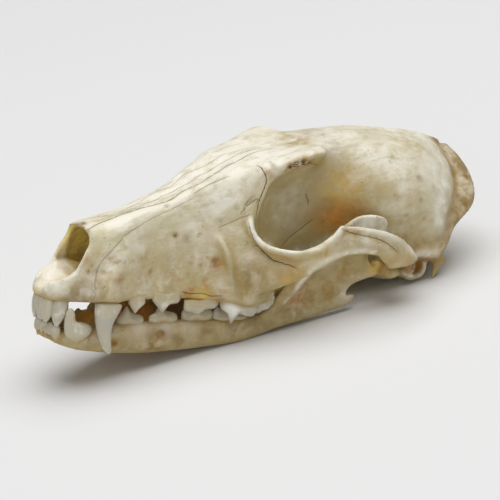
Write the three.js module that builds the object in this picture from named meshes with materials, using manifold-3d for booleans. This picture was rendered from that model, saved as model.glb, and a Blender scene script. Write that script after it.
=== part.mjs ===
// A fox skull with its lower jaw closed: the cranium, the two halves of the lower jaw and the 42 teeth,
// each tooth standing in its own socket. It rests on the undersides of the jaws.
// Millimetres. The skull is drawn in its own frame and then turned as a whole onto its resting points:
// x runs back from the front teeth, y to the animal's right, z up from the upper gum line.
import * as THREE from "three";
import { mergeVertices } from "three/addons/utils/BufferGeometryUtils.js";
import Module from "manifold-3d";

const wasm = await Module();
wasm.setup();

// Driving dimensions
const REAL_LENGTH = 149; // front teeth to the crest at the back of the head
const DRAWN_LENGTH = 152; // the same length in the drawing below
const SOCKET_GAP = 0.3; // clearance between a root and its socket
const SYMPHYSIS_GAP = 0.3; // between the two halves of the lower jaw at the chin
const ROOT_TAPER = 0.75; // width of a root's end over the tooth's neck
const SOCKET_ABOVE = 0.7; // how far the cut for a socket runs past the neck, over the root's depth
const TOOTH_SIDES = 6; // faces round a tooth, where its row doesn't say
const REST_DEPTH = 0.4; // how deep the flats are where the skull rests
const REST_FRONT = { x: 65, z: -13.9 }; // where the side view rests on the body of the jaws
const REST_BACK = { x: 128, z: 1.5 }; // where it rests on the processes beside the neck

const RING_POINTS = 22; // around the cranium
const RING_COUNT = 32; // along it
const MERGE_WITHIN = 1e-4;
const [WIDE, DEEP] = [400, 60]; // blocks that cut away all on one side of a plane

// Profiles of the crowns: [share of the height, size over the neck]
const CANINE_TAPER = [[0.3, 0.72], [0.65, 0.46], [1, 0.12]];
const INCISOR_TAPER = [[0.5, 0.9], [1, 0.34]];
// Cheek teeth instead: [size over the neck, share of the height that the cusps give there]
const CHEEK_TAPER = [[0.95, 0.8], [0.5, 1], [0.08, 1]];
const LOWEST_CROWN = 0.2; // share of the height that is left between the cusps
const CUSP_LENGTH = 1.6; // run of a cusp's slope over its reach
const CUSP_HOLLOW = 1.25; // over 1, the slope is hollow
const CUSP_ACROSS = 0.8; // fall of a cusp towards the other side of the crown

const SIDES = ["left", "right"];
const BONE = { color: 0xe3d9bd, roughness: 0.55, metalness: 0 };
const ENAMEL = { color: 0xe9e6da, roughness: 0.3, metalness: 0 };

// Cross-sections of the cranium from front to back. Each row has x and then half an outline: the height of
// the top at the midline, the dorsal shoulder, the flank (two places), the gum or base edge (two places),
// each as [out, up], and the height of the floor at the midline.
const CRANIUM = [
  [-1.6, 4.0, [1.6, 3.8], [2.8, 3.2], [3.4, 2.2], [3.2, 1.0], [2.0, 0.4], 0.4],
  [0.0, 5.8, [2.8, 5.7], [4.9, 4.6], [5.8, 2.8], [5.7, 0.8], [4.0, 0.0], 0.2],
  [3.0, 7.8, [4.2, 7.8], [6.3, 6.4], [7.6, 3.8], [8.0, 1.0], [6.0, 0.0], 0.8],
  [6.4, 9.8, [5.0, 10.2], [6.9, 8.8], [8.3, 5.0], [9.1, 1.2], [7.4, 0.0], 1.2],
  [8.4, 15.4, [5.2, 14.6], [7.2, 11.2], [8.8, 6.0], [10.2, 1.2], [8.2, 0.0], 1.4],
  [10.4, 20.9, [5.0, 19.8], [7.4, 14.2], [9.5, 7.0], [11.6, 1.2], [8.8, 0.0], 1.5],
  [15, 22.0, [5.5, 20.9], [8.4, 15.4], [10.9, 8.0], [13.2, 1.4], [9.4, -0.2], 1.6],
  [20.5, 23.0, [5.9, 22.0], [8.9, 16.6], [11.0, 9.2], [12.4, 1.4], [9.4, -0.2], 1.7],
  [28, 24.9, [6.1, 24.0], [8.8, 17.4], [10.0, 9.0], [11.5, 1.0], [9.4, -0.2], 1.8],
  [36, 27.2, [6.5, 26.6], [9.2, 19.2], [11.0, 9.6], [12.9, 1.0], [10.6, -0.2], 1.9],
  [44, 30.1, [7.1, 29.9], [10.4, 21.8], [12.6, 11.0], [14.6, 0.9], [12.2, -0.3], 2.0],
  [51, 33.2, [8.4, 33.3], [12.2, 24.4], [15.0, 12.4], [17.0, 0.2], [14.0, -1.3], 2.0],
  [57, 36.0, [10.4, 35.8], [14.6, 27.2], [17.8, 14.0], [19.6, -0.4], [16.4, -2.2], 1.8],
  [61.6, 38.2, [12.6, 37.6], [16.4, 28.6], [19.4, 14.6], [20.6, -1.0], [17.6, -2.6], 1.6],
  [65.6, 39.4, [14.4, 38.2], [13.8, 29.4], [14.2, 16.4], [19.8, -0.2], [16.8, -2.6], 1.5],
  [71.5, 40.6, [15.4, 39.6], [12.4, 31.4], [11.8, 18.8], [17.0, 1.0], [14.4, -2.2], 1.4],
  [76.5, 41.4, [16.0, 41.4], [11.8, 33.0], [10.8, 20.0], [11.4, 5.2], [9.8, -0.6], 2.2],
  [80.5, 42.2, [17.2, 42.6], [11.5, 33.8], [10.2, 20.2], [9.8, 7.0], [8.6, 0.4], 8.0],
  [85.4, 43.2, [17.6, 43.6], [11.4, 35.0], [9.9, 20.6], [9.4, 7.6], [8.2, 0.6], 8.6],
  [89, 44.4, [11.8, 42.8], [11.4, 34.8], [10.6, 20.4], [9.8, 8.4], [7.6, 1.4], 8.4],
  [94, 45.4, [9.8, 43.6], [13.2, 34.4], [13.0, 20.2], [11.4, 9.0], [7.2, 5.0], 8.0],
  [100, 46.0, [10.4, 43.8], [17.0, 34.0], [17.6, 19.8], [14.6, 9.0], [7.6, 7.2], 7.4],
  [106.5, 46.2, [11.2, 43.8], [20.4, 33.2], [21.6, 19.4], [18.6, 9.2], [8.6, 6.8], 6.9],
  [114, 46.0, [11.8, 43.4], [22.2, 32.0], [23.4, 19.2], [20.8, 9.4], [9.4, 6.2], 6.5],
  [122, 45.4, [12.0, 42.6], [22.2, 31.2], [23.4, 19.0], [21.2, 9.0], [9.6, 5.6], 6.3],
  [129, 44.5, [11.4, 41.4], [20.8, 30.6], [22.8, 18.8], [20.8, 8.8], [9.8, 5.6], 6.4],
  [135.5, 43.2, [9.8, 39.6], [18.2, 29.8], [19.8, 18.8], [17.2, 9.6], [9.2, 6.4], 7.2],
  [140.5, 41.4, [8.0, 37.4], [14.8, 28.8], [15.8, 20.0], [12.6, 12.4], [7.4, 9.2], 9.6],
  [143.5, 39.4, [6.2, 35.6], [11.2, 28.6], [11.6, 21.4], [9.0, 15.4], [5.2, 12.6], 12.8],
];

// Stations of a bent bar: its middle, its height and its thickness there, and how far it leans outwards.
const ZYGOMATIC_ARCH = [
  { at: [49, -9.8, 7.8], high: 12, thick: 5, lean: 0 },
  { at: [55.5, -14.4, 8.0], high: 16, thick: 6, lean: 3 },
  { at: [61.5, -19.0, 8.4], high: 17.6, thick: 6, lean: 8 },
  { at: [67, -23.4, 8.8], high: 14.6, thick: 5.4, lean: 13 },
  { at: [72, -26.8, 11.4], high: 8.6, thick: 4.6, lean: 15 },
  { at: [77.6, -29.2, 14.4], high: 5.6, thick: 4.0, lean: 10 },
  { at: [82.6, -31.0, 18.2], high: 7.8, thick: 3.4, lean: 4 },
  { at: [88.5, -32.2, 19.8], high: 7.4, thick: 3.4, lean: 0 },
  { at: [95, -33.0, 18.6], high: 7.6, thick: 3.6, lean: -4 },
  { at: [101.5, -33.0, 16.0], high: 7.6, thick: 4.2, lean: -8 },
  { at: [107, -31.0, 13.6], high: 6.0, thick: 6.0, lean: -4 },
  { at: [109.8, -26.0, 13.0], high: 5.2, thick: 8.4, lean: 0 },
  { at: [110.5, -20.0, 14.0], high: 7.0, thick: 10, lean: 0 },
  { at: [110.5, -15.0, 15.0], high: 7.0, thick: 10, lean: 0 },
];
const JUGAL_PROCESS = [
  { at: [81.2, -30.6, 18.6], high: 5.0, thick: 3.0, lean: 0 },
  { at: [82.4, -31.4, 22.6], high: 3.4, thick: 2.4, lean: 0 },
  { at: [83.2, -31.8, 24.8], high: 1.4, thick: 1.2, lean: 0 },
];
const NUCHAL_CREST = [
  { at: [128.0, -22.0, 9.6], high: 4.0, thick: 3.4, lean: 0 },
  { at: [130.8, -21.6, 13.6], high: 4.6, thick: 3.2, lean: 0 },
  { at: [135.2, -19.4, 20.0], high: 6.0, thick: 2.8, lean: 0 },
  { at: [143.2, -15.4, 26.2], high: 8.0, thick: 2.6, lean: 0 },
  { at: [145.6, -10.6, 31.0], high: 8.6, thick: 2.6, lean: 0 },
  { at: [145.0, -5.4, 35.8], high: 8.2, thick: 2.6, lean: 0 },
  { at: [143.8, 0.0, 38.8], high: 8.2, thick: 3.0, lean: 0 },
];
const SAGITTAL_CREST = [
  { at: [112, 0, 45.4], high: 1.6, thick: 2.0, lean: 0 },
  { at: [124, 0, 44.8], high: 2.2, thick: 2.0, lean: 0 },
  { at: [134, 0, 43.2], high: 2.6, thick: 2.2, lean: 0 },
  { at: [143, 0, 39.8], high: 3.4, thick: 2.8, lean: 0 },
];
const PAROCCIPITAL = [
  { at: [128.6, -18.2, 9.0], high: 6.0, thick: 4.4, lean: 0 },
  { at: [128.6, -18.8, 4.8], high: 4.4, thick: 3.2, lean: 0 },
  { at: [128.2, -19.2, 1.3], high: 2.4, thick: 2.0, lean: 0 },
];
const HAMULUS = [
  { at: [85.5, -8.0, 3.4], high: 3.4, thick: 2.2, lean: 0 },
  { at: [90, -7.6, 2.0], high: 2.4, thick: 1.8, lean: 0 },
  { at: [93.5, -8.0, 0.4], high: 1.2, thick: 1.2, lean: 0 },
];
const POSTGLENOID = { at: [112.4, -26.6, 9.6], radii: [1.9, 5.4, 3.4] };
const BULLA = { at: [116.5, -12.8, 7.4], radii: [10.2, 7.2, 6.2] };
const CONDYLE_OF_NECK = { at: [140.2, -7.8, 13.0], radii: [4.4, 4.2, 5.2] };

// Hollows cut from the cranium
const NOSE = [
  { at: [-8, 0, 12.4], high: 15.6, thick: 12.0, lean: 0 },
  { at: [4, 0, 12.4], high: 15.4, thick: 12.2, lean: 0 },
  { at: [14, 0, 12.8], high: 15.4, thick: 12.6, lean: 0 },
  { at: [28, 0, 13.4], high: 15.0, thick: 11.6, lean: 0 },
  { at: [40, 0, 14.4], high: 10.0, thick: 8.0, lean: 0 },
];
const FORAMEN_MAGNUM = { at: [144.5, 0, 16.4], radii: [10, 6.4, 5.4] };
const EAR_CANAL = { at: [119.6, -23.4, 9.4], radii: [3.4, 4.6, 2.9] };
const INFRAORBITAL = { at: [50.6, -16.6, 8.6], radii: [2.8, 1.7, 3.4] };

// Lower jaw, left half: sections of its body (middle, half thickness, upper and lower edge)
const JAW_BODY = [
  { x: -1.0, y: -2.2, half: 1.5, top: -7.6, low: -9.6 },
  { x: 0.2, y: -2.75, half: 2.45, top: -7.0, low: -11.0 },
  { x: 4.0, y: -3.75, half: 3.45, top: -7.0, low: -13.0 },
  { x: 10.0, y: -4.9, half: 4.5, top: -7.4, low: -15.0 },
  { x: 16.0, y: -6.0, half: 4.1, top: -7.8, low: -16.0 },
  { x: 22.0, y: -7.5, half: 3.3, top: -8.2, low: -16.4 },
  { x: 30.0, y: -8.9, half: 2.8, top: -8.4, low: -16.7 },
  { x: 40.0, y: -10.3, half: 2.8, top: -8.4, low: -16.4 },
  { x: 50.0, y: -11.6, half: 2.9, top: -8.0, low: -15.8 },
  { x: 60.0, y: -13.0, half: 2.9, top: -7.2, low: -14.8 },
  { x: 67.0, y: -14.4, half: 2.7, top: -6.0, low: -13.2 },
  { x: 74.0, y: -16.0, half: 2.4, top: -4.4, low: -10.4 },
  { x: 81.0, y: -17.4, half: 2.0, top: -3.6, low: -8.6 },
  { x: 88.0, y: -18.7, half: 1.7, top: -3.2, low: -6.9 },
  { x: 94.0, y: -19.8, half: 1.6, top: -2.4, low: -5.6 },
  { x: 97.6, y: -20.4, half: 1.5, top: -1.8, low: -4.8 },
  { x: 99.4, y: -20.7, half: 0.8, top: -2.2, low: -3.6 },
];
const RAMUS_OUTLINE = [
  [70, -7.5], [73.5, -2.2], [77, 3.4], [82, 11.0], [87.5, 18.4], [91.5, 22.4], [95.6, 24.6],
  [100.4, 25.0], [104.8, 23.6], [105.6, 20.4], [103.0, 15.8], [101.8, 12.0], [103.6, 9.4],
  [106.6, 8.6], [105.6, 5.8], [101.6, 4.2], [97.6, 1.8], [96.2, -0.8], [96.6, -3.2],
  [88.0, -5.0], [72, -8.0],
];
const JAW_SIDES = 8; // faces round the body of a jaw
const JAW_ROUNDNESS = 0.8; // 1 is an oval section, less is squarer
const RAMUS = { thick: 2.2, atX: 76, atZ: -8, y: -16.4, outPerX: 0.16, outPerZ: 0.13 };
const RAMUS_RIDGE = [
  { at: [68, -15.2, -8.6], high: 4.0, thick: 3.4, lean: 0 },
  { at: [73.2, -17.3, -2.6], high: 3.6, thick: 3.2, lean: 0 },
  { at: [77.6, -18.7, 4.0], high: 3.6, thick: 3.4, lean: 0 },
  { at: [83.0, -20.6, 11.6], high: 3.4, thick: 3.2, lean: 0 },
  { at: [89.0, -22.4, 19.0], high: 2.8, thick: 2.8, lean: 0 },
  { at: [93.0, -23.6, 22.6], high: 2.0, thick: 2.4, lean: 0 },
];
const JAW_CONDYLE = { at: [105.8, -25.6, 8.2], radii: [2.4, 6.4, 2.4] };

// Teeth of the left side. at: middle of the neck. long, wide: the neck. high: crown. root: depth in the
// socket. In degrees: turn about the upright, tip forwards of the crown, its lean outwards. bend: how far
// the point curves back. cusps: [place along, place across, share of the height, reach], the places and the
// reach in half lengths.
const BLADE = [[-0.12, 0, 1, 0.75], [0.62, 0, 0.42, 0.5], [-0.8, 0, 0.3, 0.4]];
const UPPER_TEETH = [
  {
    name: "incisor_1", at: [-0.4, -1.5, 0.5], long: 2.5, wide: 2.5, high: 6.6, root: 3,
    turn: 80, tip: 6, out: 0,
  },
  {
    name: "incisor_2", at: [0.6, -4.1, 0.5], long: 2.9, wide: 3.0, high: 7.2, root: 3,
    turn: 60, tip: 6, out: 4,
  },
  {
    name: "incisor_3", at: [3.4, -6.5, 0.6], long: 4.6, wide: 3.8, high: 8.0, root: 3.2,
    turn: 30, tip: 4, out: 6,
  },
  {
    name: "canine", at: [14.8, -11.2, 0.4], long: 8.6, wide: 5.6, high: 15.4, root: 6,
    turn: 10, tip: 5, out: 8, bend: 2.2, sides: 8,
  },
  {
    name: "premolar_1", at: [25.6, -10.9, 0.2], long: 5.2, wide: 2.9, high: 3.8, root: 2.6,
    turn: 4, cusps: BLADE,
  },
  {
    name: "premolar_2", at: [35.2, -11.9, 0.1], long: 9.2, wide: 3.3, high: 4.6, root: 2.6,
    turn: 8, cusps: BLADE,
  },
  {
    name: "premolar_3", at: [46.8, -13.8, -0.9], long: 9.8, wide: 3.7, high: 5.0, root: 2.6,
    turn: 10, cusps: BLADE,
  },
  {
    name: "premolar_4", at: [58.6, -17.0, -1.6], long: 12.6, wide: 4.9, high: 6.6, root: 2.6,
    turn: 13, sides: 8,
    cusps: [[-0.2, -0.1, 1, 0.6], [0.5, 0, 0.62, 0.6], [-0.7, 0.5, 0.4, 0.4]],
  },
  {
    name: "molar_1", at: [68.6, -15.2, -2.0], long: 6.4, wide: 7.6, high: 2.8, root: 2.2,
    turn: -4,
    cusps: [[-0.4, -0.5, 1, 0.6], [0.4, -0.5, 0.9, 0.6], [0, 0.5, 0.6, 0.7]],
  },
  {
    name: "molar_2", at: [73.9, -12.4, -1.2], long: 3.2, wide: 5.0, high: 2.0, root: 1.8,
    turn: -4,
    cusps: [[0, -0.5, 1, 0.7], [0, 0.5, 0.7, 0.7]],
  },
];
const LOWER_TEETH = [
  {
    name: "incisor_1", at: [1.2, -1.4, -7.2], long: 1.9, wide: 2.0, high: 3.2, root: 1.8,
    turn: 80, tip: 6, out: 0,
  },
  {
    name: "incisor_2", at: [1.9, -3.5, -7.2], long: 2.0, wide: 2.2, high: 3.4, root: 1.8,
    turn: 62, tip: 6, out: 2,
  },
  {
    name: "incisor_3", at: [4.5, -5.0, -7.2], long: 2.3, wide: 2.4, high: 3.0, root: 1.8,
    turn: 40, tip: 2, out: 4,
  },
  {
    name: "canine", at: [8.8, -6.1, -8.4], long: 6.6, wide: 4.2, high: 8.2, root: 4,
    turn: 14, tip: 10, out: 16, bend: 0.4, sides: 8,
  },
  {
    name: "premolar_1", at: [17.4, -6.7, -8.0], long: 2.8, wide: 2.2, high: 1.8, root: 2,
    turn: 12, cusps: BLADE,
  },
  {
    name: "premolar_2", at: [24.6, -8.1, -8.3], long: 8.4, wide: 3.0, high: 5.4, root: 2.6,
    turn: 11, cusps: BLADE,
  },
  {
    name: "premolar_3", at: [35.6, -9.6, -8.5], long: 9.0, wide: 3.0, high: 4.8, root: 2.6,
    turn: 8, cusps: BLADE,
  },
  {
    name: "premolar_4", at: [46.6, -11.0, -8.3], long: 9.4, wide: 3.4, high: 5.2, root: 2.6,
    turn: 8, cusps: BLADE,
  },
  {
    name: "molar_1", at: [59.0, -12.7, -7.5], long: 13.0, wide: 4.0, high: 6.2, root: 2.6,
    turn: 8, sides: 8,
    cusps: [[-0.15, -0.1, 1, 0.5], [-0.65, 0, 0.62, 0.5], [0.65, 0, 0.36, 0.5]],
  },
  {
    name: "molar_2", at: [69.2, -13.9, -5.8], long: 5.2, wide: 3.4, high: 1.7, root: 1.8,
    turn: 10,
    cusps: [[-0.4, 0, 1, 0.7], [0.5, 0, 0.7, 0.6]],
  },
  {
    name: "molar_3", at: [73.6, -14.8, -4.4], long: 2.2, wide: 2.0, high: 1.0, root: 1.4,
    turn: 10, cusps: [[0, 0, 1, 1]],
  },
];

const radians = THREE.MathUtils.degToRad;
const vector = (p) => new THREE.Vector3(...p);

// A closed surface through rings of equally many points, with a flat end on the first and the last.
function skin(rings) {
  const count = rings[0].length;
  const faces = [];
  for (let k = 0; k < count; k++) {
    const next = (k + 1) % count;
    for (let r = 0; r + 1 < rings.length; r++) {
      const [a, b] = [r * count + k, r * count + next];
      faces.push(a, a + count, b, b, a + count, b + count);
    }
  }
  const end = (rings.length - 1) * count;
  for (let k = 1; k + 1 < count; k++) faces.push(0, k, k + 1, end, end + k + 1, end + k);
  const geometry = new THREE.BufferGeometry().setFromPoints(rings.flat());
  geometry.setIndex(faces);
  return geometry;
}

// Turns a closed geometry into a solid, with its faces outwards.
function solid(geometry) {
  const bare = geometry.clone();
  bare.deleteAttribute("normal");
  bare.deleteAttribute("uv");
  const merged = mergeVertices(bare, MERGE_WITHIN);
  const make = (triVerts) =>
    new wasm.Manifold(
      new wasm.Mesh({ numProp: 3, vertProperties: merged.attributes.position.array, triVerts }),
    );
  const faces = new Uint32Array(merged.index.array);
  const made = make(faces);
  if (made.volume() > 0) return made;
  return make(faces.map((_, i) => faces[i - (i % 3) + [0, 2, 1][i % 3]]));
}

const mirrored = (geometry) => geometry.clone().scale(1, -1, 1);
const bothSides = (geometry) => [solid(geometry), solid(mirrored(geometry))];

function meshOf(name, made, finish) {
  const { vertProperties, triVerts } = made.getMesh();
  const geometry = new THREE.BufferGeometry();
  geometry.setAttribute("position", new THREE.BufferAttribute(vertProperties, 3));
  geometry.setIndex(new THREE.BufferAttribute(triVerts, 1));
  geometry.computeVertexNormals();
  const mesh = new THREE.Mesh(geometry, new THREE.MeshStandardMaterial(finish));
  mesh.name = name;
  return mesh;
}

function ellipsoid({ at, radii }, across) {
  const rows = Math.ceil(across / 2);
  return new THREE.SphereGeometry(1, across, rows).scale(...radii).translate(...at);
}

// A bar through its stations. "high" lies across the bar's run, as near to the given direction as it can.
function bar(stations, { rings = stations.length, sides = 8, toward = [0, 0, 1] } = {}) {
  const route = new THREE.CatmullRomCurve3(stations.map((s) => vector(s.at)), false, "catmullrom");
  const section = stations.map(({ high, thick, lean }) => new THREE.Vector3(high, thick, lean));
  const sizes = new THREE.CatmullRomCurve3(section, false, "catmullrom");
  const sections = [];
  for (let r = 0; r < rings; r++) {
    const t = r / (rings - 1);
    const along = route.getTangent(t);
    const { x: high, y: thick, z: lean } = sizes.getPoint(t);
    const across = new THREE.Vector3().crossVectors(along, vector(toward)).normalize();
    const upright = new THREE.Vector3().crossVectors(across, along);
    const ring = [];
    for (let k = 0; k < sides; k++) {
      const turn = (2 * Math.PI * k) / sides;
      const offset = across.clone().multiplyScalar((Math.cos(turn) * thick) / 2);
      offset.addScaledVector(upright, (Math.sin(turn) * high) / 2).applyAxisAngle(along, radians(lean));
      ring.push(route.getPoint(t).add(offset));
    }
    sections.push(ring);
  }
  return skin(sections);
}

// The cranium's closed outer surface, from its cross-sections.
function craniumShell() {
  const tracks = CRANIUM[0].slice(1).map((_, column) => {
    const places = CRANIUM.map(([x, ...outline]) => {
      const [out, up] = [0, outline[column]].flat().slice(-2);
      return new THREE.Vector3(x, -out, up);
    });
    return new THREE.CatmullRomCurve3(places, false, "catmullrom");
  });
  const rings = [];
  for (let r = 0; r < RING_COUNT; r++) {
    const half = tracks.map((track) => track.getPoint(r / (RING_COUNT - 1)));
    const other = half.slice(1, -1).reverse().map((p) => new THREE.Vector3(p.x, -p.y, p.z));
    const outline = new THREE.CatmullRomCurve3([...half, ...other], true, "centripetal");
    rings.push(Array.from({ length: RING_POINTS }, (_, k) => outline.getPoint(k / RING_POINTS)));
  }
  return skin(rings);
}

// Height of a cheek tooth's crown at a place on its neck, as a share of its full height.
function crownHeight(cusps, along, across) {
  const rise = ([a, c, share, reach]) => {
    const slope = Math.max(0, 1 - Math.abs(along - a) / (CUSP_LENGTH * reach)) ** CUSP_HOLLOW;
    return share * slope * Math.max(0, 1 - CUSP_ACROSS * Math.abs(across - c));
  };
  return Math.max(LOWEST_CROWN, ...cusps.map(rise));
}

// Rings of a tooth in its own frame, root below and crown above, with x forward to back along the jaw.
function toothRings(tooth) {
  const { long, wide, high, root, bend = 0, cusps, sides = TOOTH_SIDES } = tooth;
  const oval = (z, size, shift = 0, lift = () => 0) =>
    Array.from({ length: sides }, (_, k) => {
      const turn = (2 * Math.PI * k) / sides;
      const [along, across] = [size * Math.cos(turn), size * Math.sin(turn)];
      return new THREE.Vector3((along * long) / 2 + shift, (across * wide) / 2, z + lift(along, across));
    });
  const roots = [oval(-root, ROOT_TAPER), oval(0, 1)];
  if (cusps) {
    const lift = (share) => (along, across) => share * high * crownHeight(cusps, along, across);
    return [...roots, ...CHEEK_TAPER.map(([size, share]) => oval(0, size, 0, lift(share)))];
  }
  const taper = bend ? CANINE_TAPER : INCISOR_TAPER;
  return [...roots, ...taper.map(([share, size]) => oval(share * high, size, bend * share ** 2))];
}

// The hole for a root: the root with clearance all round, open beyond the neck.
function socketOf(tooth) {
  const { long, wide, root, sides = TOOTH_SIDES } = tooth;
  const oval = (z) =>
    Array.from({ length: sides }, (_, k) => {
      const turn = (2 * Math.PI * k) / sides;
      const size = 1 + ((1 - ROOT_TAPER) * z) / root;
      const reach = (width) => (size * width) / 2 + SOCKET_GAP / Math.cos(Math.PI / sides);
      return new THREE.Vector3(reach(long) * Math.cos(turn), reach(wide) * Math.sin(turn), z);
    });
  return skin([oval(-root - SOCKET_GAP), oval(SOCKET_ABOVE * root)]);
}

// The place of a tooth of the left side: upper crowns point down, lower crowns up.
function stand(geometry, { at, turn, tip = 0, out = 0 }, upper) {
  const placed = geometry.clone();
  if (upper) placed.rotateX(Math.PI);
  placed.rotateY(radians(upper ? tip : -tip));
  placed.rotateX(radians(upper ? -out : out));
  placed.rotateZ(radians(-turn));
  return placed.translate(...at);
}

function teeth(rows, jaw, upper) {
  return rows.map((tooth) => {
    const crown = stand(skin(toothRings(tooth)), tooth, upper);
    const socket = stand(socketOf(tooth), tooth, upper);
    return {
      sockets: { left: solid(socket), right: solid(mirrored(socket)) },
      meshes: SIDES.map((side) => {
        const shape = side === "left" ? crown : mirrored(crown);
        return meshOf(`${jaw}_${side}_${tooth.name}`, solid(shape), ENAMEL);
      }),
    };
  });
}

function cranium(upperTeeth) {
  let made = solid(craniumShell());
  const toBack = [1, 0, 0];
  const added = [
    bar(ZYGOMATIC_ARCH, { rings: 19 }),
    bar(JUGAL_PROCESS, { sides: 5, toward: toBack }),
    bar(NUCHAL_CREST, { rings: 9, sides: 6, toward: toBack }),
    bar(PAROCCIPITAL, { sides: 6, toward: toBack }),
    bar(HAMULUS, { sides: 5 }),
    ellipsoid(POSTGLENOID, 6),
    ellipsoid(BULLA, 10),
    ellipsoid(CONDYLE_OF_NECK, 8),
  ];
  const pairedHollows = [ellipsoid(EAR_CANAL, 6), ellipsoid(INFRAORBITAL, 6)];
  const middleHollows = [bar(NOSE, { sides: 10 }), ellipsoid(FORAMEN_MAGNUM, 8)];
  for (const piece of added.flatMap(bothSides)) made = made.add(piece);
  made = made.add(solid(bar(SAGITTAL_CREST, { sides: 6 })));
  const sockets = upperTeeth.flatMap((tooth) => [tooth.sockets.left, tooth.sockets.right]);
  const cut = [...pairedHollows.flatMap(bothSides), ...middleHollows.map(solid), ...sockets, underRest()];
  for (const piece of cut) made = made.subtract(piece);
  return made;
}

// A jaw's flat plate behind the teeth, leaning outwards as it rises.
function ramus() {
  const outline = new THREE.Shape(RAMUS_OUTLINE.map(([x, z]) => new THREE.Vector2(x, z)));
  const plate = new THREE.ExtrudeGeometry(outline, { depth: RAMUS.thick, bevelEnabled: false });
  plate.rotateX(Math.PI / 2).translate(0, RAMUS.thick / 2, 0);
  const place = plate.attributes.position;
  for (let i = 0; i < place.count; i++) {
    const [x, z] = [place.getX(i), place.getZ(i)];
    const out = RAMUS.outPerX * (x - RAMUS.atX) + RAMUS.outPerZ * (z - RAMUS.atZ);
    place.setY(i, place.getY(i) + RAMUS.y - out);
  }
  return plate;
}

function jawBody() {
  const square = (v) => Math.sign(v) * Math.abs(v) ** JAW_ROUNDNESS;
  return skin(
    JAW_BODY.map(({ x, y, half, top, low }) =>
      Array.from({ length: JAW_SIDES }, (_, k) => {
        const turn = (2 * Math.PI * k) / JAW_SIDES;
        const [c, s] = [square(Math.cos(turn)), square(Math.sin(turn))];
        return new THREE.Vector3(x, y + half * c, (top + low) / 2 + (s * (top - low)) / 2);
      }),
    ),
  );
}

function lowerJaw(side, lowerTeeth) {
  const sided = (geometry) => solid(side === "left" ? geometry : mirrored(geometry));
  const added = [ramus(), bar(RAMUS_RIDGE, { sides: 6, toward: [1, 0, 0] }), ellipsoid(JAW_CONDYLE, 8)];
  const beyondMiddle = new THREE.BoxGeometry(WIDE, DEEP, WIDE);
  beyondMiddle.translate(0, DEEP / 2 - SYMPHYSIS_GAP / 2, 0);
  let made = sided(jawBody());
  for (const piece of added) made = made.add(sided(piece));
  made = made.subtract(sided(beyondMiddle));
  for (const { sockets } of lowerTeeth) made = made.subtract(sockets[side]);
  return made.subtract(underRest());
}

// The angle between the gum line and the surface that the skull rests on
const REST_PITCH = Math.atan2(REST_BACK.z - REST_FRONT.z, REST_BACK.x - REST_FRONT.x);

// All that would reach below that surface
function underRest() {
  const block = new THREE.BoxGeometry(WIDE, WIDE, DEEP).translate(0, 0, REST_DEPTH - DEEP / 2);
  return solid(block.rotateY(-REST_PITCH).translate(REST_FRONT.x, 0, REST_FRONT.z));
}

const upperTeeth = teeth(UPPER_TEETH, "upper", true);
const lowerTeeth = teeth(LOWER_TEETH, "lower", false);

const head = new THREE.Group();
head.add(meshOf("cranium", cranium(upperTeeth), BONE));
head.add(...upperTeeth.flatMap(({ meshes }) => meshes));
const jaws = new THREE.Group();
for (const side of SIDES) jaws.add(meshOf(`lower_jaw_${side}`, lowerJaw(side, lowerTeeth), BONE));
jaws.add(...lowerTeeth.flatMap(({ meshes }) => meshes));

const skull = new THREE.Group();
skull.add(head, jaws);
skull.rotation.y = REST_PITCH;
skull.scale.setScalar(REAL_LENGTH / DRAWN_LENGTH);

// The origin is under the middle of the skull, on the surface that it rests on.
const part = new THREE.Group();
part.add(skull);
const box = new THREE.Box3().setFromObject(part, true);
const { x: middleX, y: middleY } = box.getCenter(new THREE.Vector3());
skull.position.set(-middleX, -middleY, -box.min.z);

export default part;
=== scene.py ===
"""A fox skull with its lower jaw closed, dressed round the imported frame.

The bones are drawn in the skull's own frame, in millimetres: x runs back from the front teeth, y to the
animal's right, z up from the upper gum line. Each finished piece is then placed in the frame, in metres.
"""
import math
import random

import bmesh
import bpy
import numpy as np
from bpy.props import FloatProperty, FloatVectorProperty, IntProperty, PointerProperty
from mathutils import Matrix, Vector, noise as rumple
from mathutils.bvhtree import BVHTree


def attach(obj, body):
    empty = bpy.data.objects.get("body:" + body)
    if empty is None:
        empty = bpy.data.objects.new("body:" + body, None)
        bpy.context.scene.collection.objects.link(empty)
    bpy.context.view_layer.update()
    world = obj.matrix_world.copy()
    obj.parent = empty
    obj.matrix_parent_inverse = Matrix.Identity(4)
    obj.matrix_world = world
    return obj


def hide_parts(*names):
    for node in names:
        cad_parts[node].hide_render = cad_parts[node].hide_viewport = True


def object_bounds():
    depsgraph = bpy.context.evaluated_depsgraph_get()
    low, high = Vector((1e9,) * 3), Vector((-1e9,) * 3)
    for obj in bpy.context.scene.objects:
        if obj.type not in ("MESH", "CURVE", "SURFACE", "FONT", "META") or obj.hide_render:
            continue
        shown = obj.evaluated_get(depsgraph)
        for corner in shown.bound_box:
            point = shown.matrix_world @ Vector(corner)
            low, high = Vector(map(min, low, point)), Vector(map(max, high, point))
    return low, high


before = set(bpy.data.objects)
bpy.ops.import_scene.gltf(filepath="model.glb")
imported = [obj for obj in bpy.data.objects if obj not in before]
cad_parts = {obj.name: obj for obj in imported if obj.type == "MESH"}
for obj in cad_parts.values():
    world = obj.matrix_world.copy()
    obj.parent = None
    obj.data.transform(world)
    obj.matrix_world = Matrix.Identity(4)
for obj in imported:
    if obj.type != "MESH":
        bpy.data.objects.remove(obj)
FRAME_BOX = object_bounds()

bl_info = {
    "name": "Fox skull",
    "version": (1, 0, 0),
    "blender": (4, 5, 0),
    "location": "View3D > Sidebar > Fox skull",
    "description": "Builds the bones and teeth of a fox skull round its packed frame",
    "category": "Object",
}

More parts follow.
